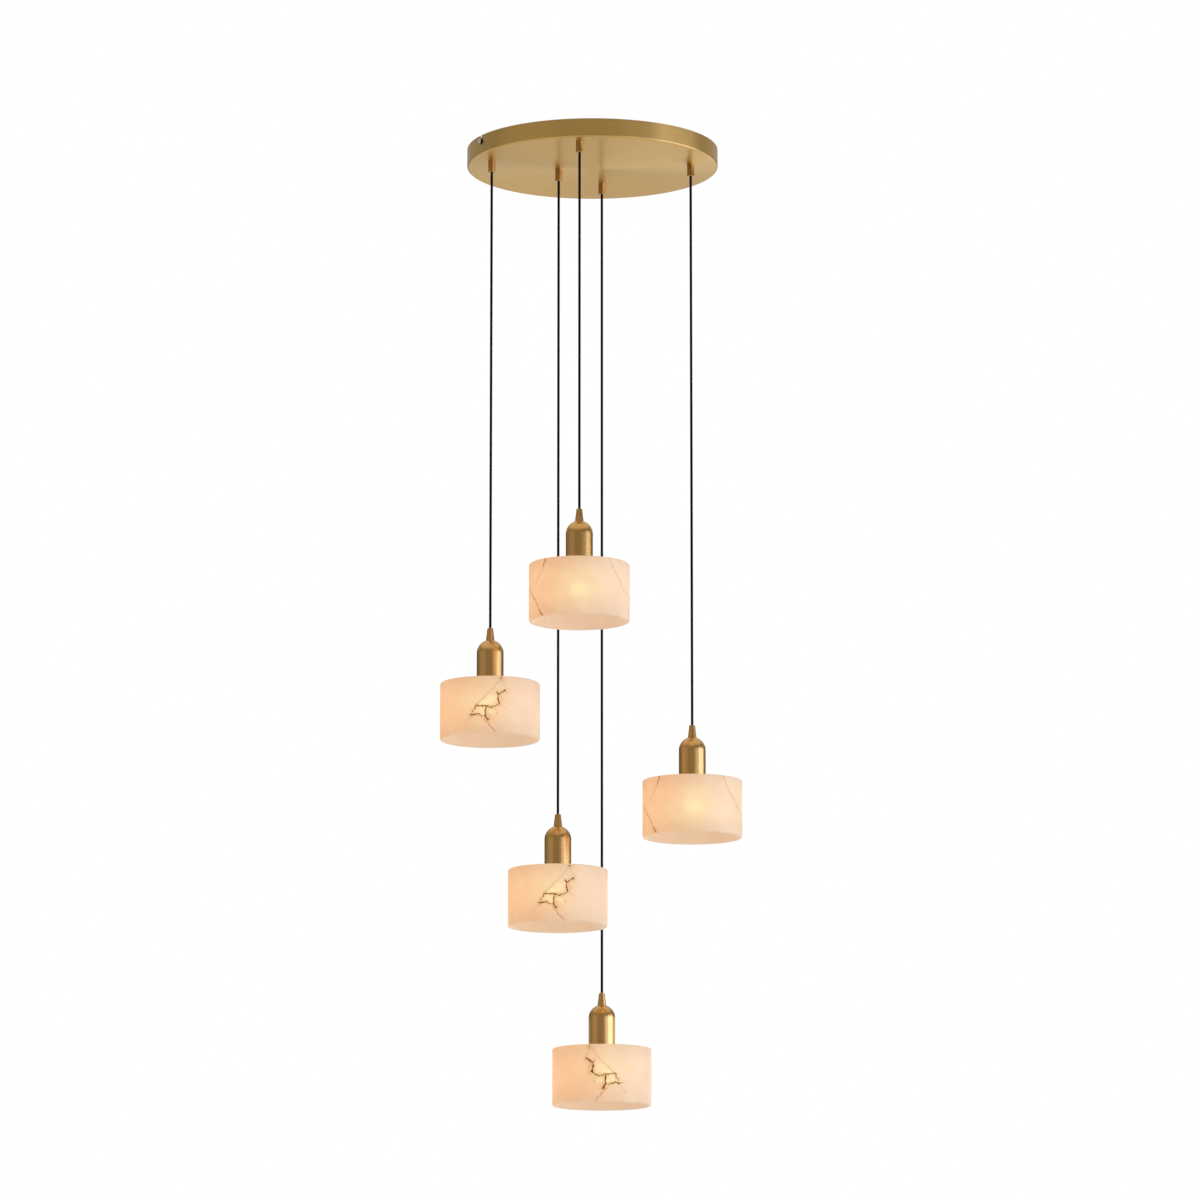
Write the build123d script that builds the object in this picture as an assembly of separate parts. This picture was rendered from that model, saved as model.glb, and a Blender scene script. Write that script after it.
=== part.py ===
from build123d import *
import math
import os

# A cluster pendant light: a round brass canopy on a ceiling bracket, and five cords, each with a
# tapered cord grip, a domed socket cup and an open-bottomed alabaster drum shade.
# Millimetres, +Z up. The origin is the centre of the face that meets the ceiling, and the
# ceiling bracket runs along X.

# Canopy: a shallow round pan, open towards the ceiling
canopy_radius = 200.0
canopy_height = 30.0
canopy_wall = 1.5
canopy_edge_radius = 3.0
ceiling_gap = 0.5

# Ceiling bracket: a flat bar with a round middle and two ends turned down
bracket_thickness = 2.0
bracket_width = 24.0
bracket_middle_radius = 34.0
bracket_bend_radius = 2.5
bracket_tab_drop = 20.0
tab_clearance = 0.4
cable_hole_radius = 9.0
ceiling_slot_spacing = 120.0
ceiling_slot_width = 5.5
ceiling_slot_length = 20.0

# Side screws, which clamp the canopy rim to the bracket's ends
side_screw_radius = 2.5
side_screw_length = 12.0
side_screw_depth = 10.0
side_screw_head_radius = 4.5
side_screw_head_height = 3.2
driver_slot_width = 1.2
driver_slot_depth = 1.4
rim_slot_clearance = 0.3
thread_clearance = 0.05

# Cord, and the plan place and free length of each pendant's cord
cord_radius = 2.0
cord_length_1 = 570.0
cord_length_2 = 736.0
cord_length_3 = 886.0
cord_length_4 = 1022.0
cord_length_5 = 1294.0
cord_lengths = [cord_length_1, cord_length_2, cord_length_3, cord_length_4, cord_length_5]
pendant_places = [(-97.0, -139.8), (-161.9, 36.3), (129.3, -90.2), (-41.1, 37.7), (59.3, 79.5)]

# Canopy grips: brass cylinders on hollow threaded stems, each with a side set screw
canopy_grip_radius = 5.7
canopy_grip_length = 18.0
canopy_grip_chamfer = 0.6
canopy_stem_radius = 4.0
stem_hole_clearance = 0.15
cord_bore_clearance = 0.3
stem_above_nut = 1.0
grip_nut_flats = 13.0
grip_nut_thickness = 4.0
set_screw_radius = 1.5
set_screw_height = 9.0
set_screw_clearance = 0.05
cord_pivot_depth = 1.0
cord_swing_gap = 0.4

# Terminal block and earth stud, inside the canopy
block_ways = 6
block_pitch = 9.0
block_width = 20.0
block_height = 13.0
block_ledge_height = 7.5
block_ledge_width = 4.0
block_entry_radius = 1.6
block_entry_depth = 5.0
block_entry_height = 5.0
block_screw_radius = 2.2
block_screw_depth = 4.0
earth_stud_radius = 2.0
earth_stud_height = 12.0
earth_stud_foot_radius = 5.0
earth_stud_foot_height = 1.0
earth_nut_flats = 7.0
earth_nut_thickness = 3.2
earth_stud_place = (0.0, -60.0)

# Cord tails inside the canopy: their way from each stem to the terminal block
tail_turn_depth = 9.5
tail_bend_radius = 8.0
tail_run_share = 0.45

# Shade: an alabaster drum with a flat top and an open bottom
shade_radius = 78.0
shade_height = 90.0
shade_wall = 6.0
shade_top_thickness = 7.0
shade_edge_radius = 2.5
shade_inner_edge = 1.0
shade_hole_clearance = 0.3

# Socket cup: a cylinder with a hemispherical top and a flat land for the cord grip
cup_radius = 21.0
cup_height = 68.0
cup_wall = 1.5
cup_top_thickness = 2.5
cup_land_radius = 7.4
cup_lip_height = 4.0

# Cord grip: a tapered brass cap on the threaded nipple
cord_grip_base_radius = 6.85
cord_grip_top_radius = 4.5
cord_grip_height = 20.0
cord_grip_mouth = 3.0
cord_grip_rim_chamfer = 0.4
collet_radius = 3.05
collet_height = 7.0
collet_bore_radius = 1.3
collet_clearance = 0.05
collet_end_gap = 0.2

# Threaded nipple through the top of the cup, and its lock nut
nipple_radius = 4.9
nipple_bore_radius = 3.2
nipple_in_holder = 9.0
nipple_nut_flats = 14.0
nipple_nut_thickness = 3.5

# Lampholder, its brass thread shell and its centre contact
holder_radius = 18.0
holder_length = 58.0
holder_below_ring = 2.5
holder_body_radius = 16.5
holder_skirt_length = 36.0
holder_neck_radius = 9.0
holder_shoulder_height = 6.0
holder_cavity_clearance = 0.05
shell_wall = 0.5
shell_length = 22.0
shell_set_back = 7.0
contact_width = 6.0
contact_thickness = 0.5
contact_rise = 3.0
contact_foot_reach = 8.0
contact_foot_length = 3.0
contact_tip_reach = 3.0

# Shade ring, which clamps the shade up against the cup
ring_flange_radius = 27.0
ring_flange_thickness = 3.0
ring_hub_radius = 22.0
ring_height = 9.0
ring_notches = 12
ring_notch_radius = 1.6

# Bulb: a golf-ball lamp with a 27 mm screw cap
cap_radius = 13.2
cap_running_clearance = 0.08
cap_length = 22.0
cap_tip_length = 4.5
cap_tip_radius = 4.8
bulb_radius = 22.5
bulb_neck_radius = 12.4
bulb_length = 77.0

# Heights that several pieces share
canopy_floor_z = -canopy_height
canopy_inside_z = canopy_floor_z + canopy_wall
canopy_inner_radius = canopy_radius - canopy_wall
grip_mouth_z = canopy_floor_z - canopy_grip_length
cord_pivot_z = grip_mouth_z + cord_pivot_depth
cord_bore_radius = cord_radius + cord_bore_clearance
stem_top_z = canopy_inside_z + grip_nut_thickness + stem_above_nut
bracket_end_x = math.sqrt(canopy_inner_radius**2 - (bracket_width / 2) ** 2) - tab_clearance

# Heights on one pendant, above the top face of its shade
cup_spring_z = cup_height - math.sqrt(cup_radius**2 - cup_land_radius**2)
cup_inner_top_z = cup_height - cup_top_thickness
grip_top_z = cup_height + cord_grip_height
collet_top_z = grip_top_z - cord_grip_mouth
collet_bottom_z = collet_top_z - collet_height
nipple_top_z = collet_bottom_z - collet_end_gap
ring_bottom_z = -shade_top_thickness - ring_height
holder_mouth_z = ring_bottom_z - holder_below_ring
holder_top_z = holder_mouth_z + holder_length
nipple_bottom_z = holder_top_z - nipple_in_holder
shell_outer_radius = cap_radius + cap_running_clearance + shell_wall
shell_bottom_z = holder_mouth_z + shell_set_back
shell_top_z = shell_bottom_z + shell_length
cap_top_z = shell_top_z
holder_floor_z = cap_top_z + contact_rise + contact_thickness
bulb_bottom_z = cap_top_z - bulb_length
shade_hole_radius = holder_radius + shade_hole_clearance


def turned(points):
    """A solid turned about Z from a closed outline of straight runs, given as (radius, height)."""
    outline = make_face(Polyline(*points, close=True))
    return revolve(Plane.XZ * outline, Axis.Z)


def hex_nut(flats, thickness, bore_radius):
    """A hexagonal nut that stands on the plane z = 0."""
    blank = extrude(RegularPolygon(flats / 2, 6, major_radius=False), thickness)
    return blank - extrude(Circle(bore_radius), thickness)


def placed_on_all(shape, z):
    """Copies of one solid at the plan place of every cord, at height z."""
    return [shape.moved(Location((x, y, z))) for x, y in pendant_places]


def group(solids):
    """Separate solids that share one node."""
    return Compound(children=solids)


def ceiling_bracket():
    """Bar with turned-down ends, slots for the ceiling screws and a cable hole."""
    t = bracket_thickness
    end = bracket_end_x
    with BuildSketch(Plane.XZ) as profile:
        with BuildLine():
            Polyline(
                (-end, -bracket_tab_drop),
                (-end, 0),
                (end, 0),
                (end, -bracket_tab_drop),
                (end - t, -bracket_tab_drop),
                (end - t, -t),
                (-end + t, -t),
                (-end + t, -bracket_tab_drop),
                close=True,
            )
        make_face()
        outer = [v for v in profile.vertices() if v.Y > -t / 2]
        inner = [v for v in profile.vertices() if -1.5 * t < v.Y < -t / 2]
        fillet(outer, bracket_bend_radius + t)
        fillet(inner, bracket_bend_radius)
    bar = extrude(profile.sketch, bracket_middle_radius, both=True)
    plan = Rectangle(2 * end, bracket_width) + Circle(bracket_middle_radius)
    bar &= extrude(plan, -bracket_tab_drop)
    slots = [
        Pos(side * ceiling_slot_spacing / 2, 0) * SlotOverall(ceiling_slot_length, ceiling_slot_width)
        for side in (-1, 1)
    ]
    holes = Sketch() + slots + Circle(cable_hole_radius)
    bar -= extrude(holes, -t)
    screw_line = Plane(origin=(-end, 0, -side_screw_depth), z_dir=(1, 0, 0))
    return bar - extrude(screw_line * Circle(side_screw_radius + thread_clearance), 2 * end)


def side_screw():
    """Cheese-head screw along X, with the underside of its head at x = 0."""
    shank = extrude(Plane.YZ * Circle(side_screw_radius), -side_screw_length)
    head = extrude(Plane.YZ * Circle(side_screw_head_radius), side_screw_head_height)
    head = chamfer(head.edges().group_by(Axis.X)[-1], canopy_grip_chamfer)
    slot = Box(driver_slot_depth, driver_slot_width, 2 * side_screw_head_radius)
    slot_x = side_screw_head_height - driver_slot_depth / 2
    return shank + head - Pos(slot_x, 0, 0) * slot


def canopy():
    """Spun pan with a rounded lower edge, two open rim slots and a hole for each grip's stem."""
    r = canopy_radius
    e = canopy_edge_radius
    w = canopy_wall
    with BuildSketch(Plane.XZ) as profile:
        with BuildLine():
            Line((0, canopy_floor_z), (r - e, canopy_floor_z))
            RadiusArc((r - e, canopy_floor_z), (r, canopy_floor_z + e), -e)
            Polyline((r, canopy_floor_z + e), (r, -ceiling_gap), (r - w, -ceiling_gap), (r - w, canopy_floor_z + e))
            RadiusArc((r - w, canopy_floor_z + e), (r - e, canopy_inside_z), e - w)
            Polyline((r - e, canopy_inside_z), (0, canopy_inside_z), (0, canopy_floor_z))
        make_face()
    pan = revolve(profile.sketch, Axis.Z)
    slot_radius = side_screw_radius + rim_slot_clearance
    slot = Pos(0, -side_screw_depth) * Circle(slot_radius)
    slot += Pos(0, -side_screw_depth / 2) * Rectangle(2 * slot_radius, side_screw_depth)
    rim_slots = extrude(Plane.YZ * slot, 2 * r, both=True)
    stem_hole = Cylinder(canopy_stem_radius + stem_hole_clearance, 4 * w)
    return pan - rim_slots - placed_on_all(stem_hole, canopy_floor_z)


def canopy_grip():
    """Brass cylinder with a hollow stem, with its shoulder on the plane z = 0."""
    c = canopy_grip_chamfer
    length = canopy_grip_length
    body = turned(
        [
            (cord_bore_radius, -length),
            (canopy_grip_radius - c, -length),
            (canopy_grip_radius, -length + c),
            (canopy_grip_radius, 0),
            (canopy_stem_radius, 0),
            (canopy_stem_radius, stem_top_z - canopy_floor_z),
            (cord_bore_radius, stem_top_z - canopy_floor_z),
        ]
    )
    hole_line = Plane(origin=(0, 0, -length + set_screw_height), z_dir=(0, 1, 0))
    return body - extrude(hole_line * Circle(set_screw_radius + set_screw_clearance), canopy_grip_radius)


def set_screw():
    """Grub screw that holds the cord in its canopy grip, pointing along Y at height z = 0."""
    start = Plane(origin=(0, cord_radius + set_screw_clearance, 0), z_dir=(0, 1, 0))
    length = canopy_grip_radius - cord_radius - 2 * set_screw_clearance
    return extrude(start * Circle(set_screw_radius), length)


def terminal_block():
    """Strip of screw terminals that stands on the canopy's floor, with its ways along X."""
    length = block_ways * block_pitch
    body = Pos(0, 0, block_height / 2) * Box(length, block_width, block_height)
    ledge_z = (block_height + block_ledge_height) / 2
    for side in (-1, 1):
        ledge = Box(length, block_ledge_width, block_height - block_ledge_height)
        body -= Pos(0, side * (block_width - block_ledge_width) / 2, ledge_z) * ledge
    for way in range(block_ways):
        x = (way - (block_ways - 1) / 2) * block_pitch
        body -= Pos(x, 0, block_height) * Cylinder(block_screw_radius, 2 * block_screw_depth)
        entry = Plane(origin=(x, 0, block_entry_height), z_dir=(0, 1, 0)) * Circle(block_entry_radius)
        body -= extrude(entry, block_width / 2, both=True)
        core = block_width - 2 * block_entry_depth
        body += Pos(x, 0, block_entry_height) * Box(block_pitch / 2, core, 2 * block_entry_radius)
    return Pos(0, 0, canopy_inside_z) * body


def earth_stud():
    """Welded stud with its nut, for the earth wires."""
    foot_top = earth_stud_foot_height
    stud = turned(
        [
            (0, 0),
            (earth_stud_foot_radius, 0),
            (earth_stud_foot_radius, foot_top),
            (earth_stud_radius, foot_top),
            (earth_stud_radius, earth_stud_height),
            (0, earth_stud_height),
        ]
    )
    nut = hex_nut(earth_nut_flats, earth_nut_thickness, earth_stud_radius + thread_clearance)
    nut = nut.moved(Location((0, 0, foot_top)))
    x, y = earth_stud_place
    return group([s.moved(Location((x, y, canopy_inside_z))) for s in (stud, nut)])


def way_x(way):
    """The X place of one way of the terminal block, counted from the middle gap."""
    return (way - math.copysign(0.5, way)) * block_pitch


def cord_tails():
    """The cords' upper ends, from inside the canopy grips to the terminal block."""
    side_y = block_width / 2
    entry_z = canopy_inside_z + block_entry_height
    ways = [-2, -3, 2, -1, 1]
    bends = [
        [(-70.0, -98.0), (-38.0, -56.0), (way_x(-2), -34.0)],
        [(-112.0, 30.0), (-64.0, 20.0), (way_x(-3), 24.0)],
        [(92.0, -70.0), (48.0, -52.0), (way_x(2), -32.0)],
        [(-16.0, 44.0), (way_x(-1), 24.0)],
        [(36.0, 58.0), (12.0, 42.0), (way_x(1), 24.0)],
    ]
    tails = []
    for (x, y), way, middle in zip(pendant_places, ways, bends):
        side = math.copysign(1, middle[-1][1])
        start = (x, y, cord_pivot_z + cord_swing_gap)
        points = [start, (x, y, -tail_turn_depth)]
        drop = (entry_z + tail_turn_depth) / len(middle)
        points += [(px, py, -tail_turn_depth + drop * (n + 1)) for n, (px, py) in enumerate(middle)]
        points.append((way_x(way), side * side_y, entry_z))
        tails.append(cord_tube(points, tail_bend_radius))
    return group(tails)


def cord_tube(points, first_radius):
    """A cord's tube along straight runs joined by arcs, the first of them of a given radius."""
    knots = [Vector(p) for p in points]
    radii = [first_radius]
    for before, corner, after in zip(knots[1:], knots[2:], knots[3:]):
        turn = math.radians((corner - before).get_angle(after - corner))
        run = min((corner - before).length, (after - corner).length)
        radii.append(tail_run_share * run / math.tan(turn / 2))
    print("tail radii", [round(r, 1) for r in radii])
    path = FilletPolyline(*knots, radius=radii)
    section = Plane(origin=path @ 0, z_dir=path % 0) * Circle(cord_radius)
    tube = sweep(section, path)
    print("tail volume share", round(tube.volume / (math.pi * cord_radius**2 * path.length), 4))
    return tube


def shade():
    """Turned alabaster drum, open at the bottom, with a hole in its top for the lampholder."""
    bottom = -shade_height
    inner = shade_radius - shade_wall
    e = shade_edge_radius
    i = shade_inner_edge
    with BuildSketch(Plane.XZ) as profile:
        with BuildLine():
            Line((shade_hole_radius, 0), (shade_radius - e, 0))
            RadiusArc((shade_radius - e, 0), (shade_radius, -e), e)
            Line((shade_radius, -e), (shade_radius, bottom + e))
            RadiusArc((shade_radius, bottom + e), (shade_radius - e, bottom), e)
            Polyline(
                (shade_radius - e, bottom),
                (inner + i, bottom),
                (inner, bottom + i),
                (inner, -shade_top_thickness - i),
                (inner - i, -shade_top_thickness),
                (shade_hole_radius, -shade_top_thickness),
                (shade_hole_radius, 0),
            )
        make_face()
    return revolve(profile.sketch, Axis.Z)


def socket_cup():
    """Spun brass cup with a hemispherical top, a flat land and a thick lower lip."""
    inner = cup_radius - cup_wall
    land_inner = math.sqrt(inner**2 - (cup_inner_top_z - cup_spring_z) ** 2)
    hole = nipple_radius + thread_clearance
    with BuildSketch(Plane.XZ) as profile:
        with BuildLine():
            Line((cup_radius, 0), (cup_radius, cup_spring_z))
            RadiusArc((cup_radius, cup_spring_z), (cup_land_radius, cup_height), -cup_radius)
            Polyline(
                (cup_land_radius, cup_height),
                (hole, cup_height),
                (hole, cup_inner_top_z),
                (land_inner, cup_inner_top_z),
            )
            RadiusArc((land_inner, cup_inner_top_z), (inner, cup_spring_z), inner)
            Polyline(
                (inner, cup_spring_z),
                (inner, cup_lip_height),
                (shade_hole_radius, cup_lip_height),
                (shade_hole_radius, 0),
                (cup_radius, 0),
            )
        make_face()
    return revolve(profile.sketch, Axis.Z)


def cord_grip():
    """Tapered cap that holds the cord's end and screws onto the nipple."""
    rim = cord_grip_rim_chamfer
    pocket = collet_radius + collet_clearance
    thread = nipple_radius + thread_clearance
    return turned(
        [
            (thread, cup_height),
            (cord_grip_base_radius, cup_height),
            (cord_grip_top_radius, grip_top_z - rim),
            (cord_grip_top_radius - rim, grip_top_z),
            (cord_bore_radius, grip_top_z),
            (cord_bore_radius, collet_top_z),
            (pocket, collet_top_z),
            (pocket, nipple_top_z + collet_end_gap),
            (thread, nipple_top_z + collet_end_gap),
        ]
    )


def cord_collet():
    """Nylon sleeve clamped on the cord's end, inside the cord grip."""
    sleeve = extrude(Circle(collet_radius) - Circle(collet_bore_radius), collet_height - collet_end_gap)
    return sleeve.moved(Location((0, 0, collet_bottom_z)))


def nipple():
    """Threaded tube that joins cord grip, cup and lampholder, and the lock nut inside the cup."""
    length = nipple_top_z - nipple_bottom_z
    tube = extrude(Circle(nipple_radius) - Circle(nipple_bore_radius), length)
    nut = hex_nut(nipple_nut_flats, nipple_nut_thickness, nipple_radius + thread_clearance)
    return group(
        [
            tube.moved(Location((0, 0, nipple_bottom_z))),
            nut.moved(Location((0, 0, cup_inner_top_z - nipple_nut_thickness))),
        ]
    )


def lampholder():
    """Moulded holder with a threaded skirt for the shade ring and a deep socket."""
    cavity = shell_outer_radius + holder_cavity_clearance
    skirt_top = holder_mouth_z + holder_skirt_length
    shoulder_z = holder_top_z - holder_shoulder_height
    return turned(
        [
            (cavity, holder_mouth_z),
            (holder_radius, holder_mouth_z),
            (holder_radius, skirt_top),
            (holder_body_radius, skirt_top),
            (holder_body_radius, shoulder_z),
            (holder_neck_radius, holder_top_z),
            (nipple_radius + thread_clearance, holder_top_z),
            (nipple_radius + thread_clearance, nipple_bottom_z),
            (nipple_bore_radius, nipple_bottom_z),
            (nipple_bore_radius, holder_floor_z),
            (cavity, holder_floor_z),
        ]
    )


def thread_shell():
    """Brass thread shell of the lampholder, and its springy centre contact."""
    inner = shell_outer_radius - shell_wall
    shell = extrude(Circle(shell_outer_radius) - Circle(inner), shell_length)
    under = [
        (-contact_foot_reach, 0),
        (-contact_foot_reach + contact_foot_length, 0),
        (-contact_tip_reach, -contact_rise),
        (contact_tip_reach, -contact_rise),
    ]
    over = [(x, z + contact_thickness) for x, z in reversed(under)]
    strip = make_face(Polyline(*under, *over, close=True))
    tongue = extrude(Plane.XZ * strip, contact_width / 2, both=True)
    return group(
        [
            shell.moved(Location((0, 0, shell_bottom_z))),
            tongue.moved(Location((0, 0, holder_floor_z - contact_thickness))),
        ]
    )


def shade_ring():
    """Flanged ring with finger notches, screwed onto the lampholder under the shade."""
    thread = holder_radius + thread_clearance
    ring = turned(
        [
            (thread, ring_bottom_z),
            (ring_hub_radius, ring_bottom_z),
            (ring_hub_radius, -shade_top_thickness - ring_flange_thickness),
            (ring_flange_radius, -shade_top_thickness - ring_flange_thickness),
            (ring_flange_radius, -shade_top_thickness),
            (thread, -shade_top_thickness),
        ]
    )
    hub_height = ring_height - ring_flange_thickness
    notches = PolarLocations(ring_hub_radius, ring_notches) * Cylinder(ring_notch_radius, hub_height)
    hub_middle_z = ring_bottom_z + hub_height / 2
    return ring - [n.moved(Location((0, 0, hub_middle_z))) for n in notches]


def bulb():
    """Golf-ball bulb: screw cap with a conical tip, a flared neck and a round envelope."""
    cap_bottom = cap_top_z - cap_tip_length - cap_length
    centre_z = bulb_bottom_z + bulb_radius
    neck_z = cap_bottom - (cap_radius - bulb_neck_radius)
    join_angle = math.radians(36)
    join = (bulb_radius * math.sin(join_angle), centre_z + bulb_radius * math.cos(join_angle))
    with BuildSketch(Plane.XZ) as profile:
        with BuildLine():
            Polyline(
                (0, cap_top_z),
                (cap_tip_radius, cap_top_z),
                (cap_radius, cap_top_z - cap_tip_length),
                (cap_radius, cap_bottom),
                (bulb_neck_radius, neck_z),
                join,
            )
            ThreePointArc(join, (bulb_radius, centre_z), (0, bulb_bottom_z))
            Line((0, bulb_bottom_z), (0, cap_top_z))
        make_face()
    return revolve(profile.sketch, Axis.Z)


def cord(length):
    """Free cord of one pendant, down from the origin."""
    return extrude(Circle(cord_radius), -length)


def write_node(name, shape):
    """Write one node's file."""
    export_step(shape, f"parts/{name}.step")


os.makedirs("parts", exist_ok=True)

screw = side_screw().moved(Location((canopy_radius, 0, -side_screw_depth)))
write_node("ceiling_bracket", ceiling_bracket())
write_node("side_screws", group([screw, screw.rotate(Axis.Z, 180)]))
write_node("canopy", canopy())
write_node("canopy_grips", group(placed_on_all(canopy_grip(), canopy_floor_z)))
grip_nut = hex_nut(grip_nut_flats, grip_nut_thickness, canopy_stem_radius + thread_clearance)
write_node("grip_nuts", group(placed_on_all(grip_nut, canopy_inside_z)))
write_node("set_screws", group(placed_on_all(set_screw(), grip_mouth_z + set_screw_height)))
write_node("terminal_block", terminal_block())
write_node("earth_stud", earth_stud())
write_node("cord_tails", cord_tails())

pendant_pieces = {
    "cord_grip": cord_grip(),
    "cord_collet": cord_collet(),
    "nipple": nipple(),
    "socket_cup": socket_cup(),
    "lampholder": lampholder(),
    "thread_shell": thread_shell(),
    "shade": shade(),
    "shade_ring": shade_ring(),
    "bulb": bulb(),
}
for number, ((x, y), length) in enumerate(zip(pendant_places, cord_lengths), 1):
    shade_top_z = grip_mouth_z - length - grip_top_z
    hung = Location((x, y, shade_top_z))
    for name, shape in pendant_pieces.items():
        write_node(f"{name}_{number}", shape.moved(hung))
    run = cord_pivot_z - (shade_top_z + collet_top_z - collet_end_gap)
    write_node(f"cord_{number}", cord(run).moved(Location((x, y, cord_pivot_z))))
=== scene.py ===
"""Cluster pendant light: finishes, cords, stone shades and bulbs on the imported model, in a plain studio."""

import logging
import math
from dataclasses import dataclass, field
from enum import Enum
from typing import Iterable, Optional, Sequence

import bmesh
import bpy
from mathutils import Matrix, Vector


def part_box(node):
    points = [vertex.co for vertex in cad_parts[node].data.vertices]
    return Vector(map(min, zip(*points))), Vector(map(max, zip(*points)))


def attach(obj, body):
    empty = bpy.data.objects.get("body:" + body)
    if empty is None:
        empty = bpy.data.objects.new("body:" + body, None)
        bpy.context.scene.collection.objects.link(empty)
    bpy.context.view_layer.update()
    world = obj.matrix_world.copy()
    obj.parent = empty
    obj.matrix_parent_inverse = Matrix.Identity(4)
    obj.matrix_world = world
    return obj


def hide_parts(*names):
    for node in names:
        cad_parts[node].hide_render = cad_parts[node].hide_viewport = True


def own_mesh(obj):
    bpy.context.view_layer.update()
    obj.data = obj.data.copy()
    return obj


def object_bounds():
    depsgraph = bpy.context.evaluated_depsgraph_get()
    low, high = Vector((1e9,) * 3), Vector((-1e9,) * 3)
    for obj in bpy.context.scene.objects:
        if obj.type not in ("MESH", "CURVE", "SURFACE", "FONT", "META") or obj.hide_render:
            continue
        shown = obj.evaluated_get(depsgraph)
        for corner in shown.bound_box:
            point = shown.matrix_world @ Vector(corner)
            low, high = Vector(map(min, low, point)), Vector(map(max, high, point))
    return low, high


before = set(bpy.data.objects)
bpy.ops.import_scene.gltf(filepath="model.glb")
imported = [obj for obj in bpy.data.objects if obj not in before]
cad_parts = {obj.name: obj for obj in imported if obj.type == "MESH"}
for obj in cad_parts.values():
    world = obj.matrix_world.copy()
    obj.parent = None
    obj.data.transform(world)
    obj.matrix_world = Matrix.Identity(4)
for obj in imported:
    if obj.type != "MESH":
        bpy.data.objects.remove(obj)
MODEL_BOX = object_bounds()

Spot = tuple[float, float]
Point = tuple[float, float, float]
Colour = tuple[float, float, float]
Socket = bpy.types.NodeSocket
Node = bpy.types.Node
Tree = bpy.types.NodeTree
Material = bpy.types.Material
Object = bpy.types.Object
Shape = bmesh.types.BMesh
WHITE: Colour = (1.0, 1.0, 1.0)
COOL_WHITE: Colour = (0.9, 1.1, 1.8)
ORIGIN: Point = (0.0, 0.0, 0.0)
UP: Point = (0.0, 0.0, 1.0)

log = logging.getLogger("cluster_pendant")


class Vein(Enum):
    """The two vein patterns that the stone shades are cut with."""

    QUIET = "quiet"
    CRACKED = "cracked"


class Line(Enum):
    """How a vein is drawn: a fine seam, or a dark crack with stained stone round it."""

    FINE = "fine"
    CRACK = "crack"


class Glow(Enum):
    """Painted hot spots of the bulb's light on the drum's front, and places where the stone is stained."""

    PAINTED_HOT_SPOT = "clear"
    # painted light: the bulb's hot spot, painted on the drum's front, which faces the camera
    STAIN = "stain"


def node_middle(node: str) -> Vector:
    """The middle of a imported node's box, in metres."""
    low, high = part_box(node)
    return (low + high) / 2


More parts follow.
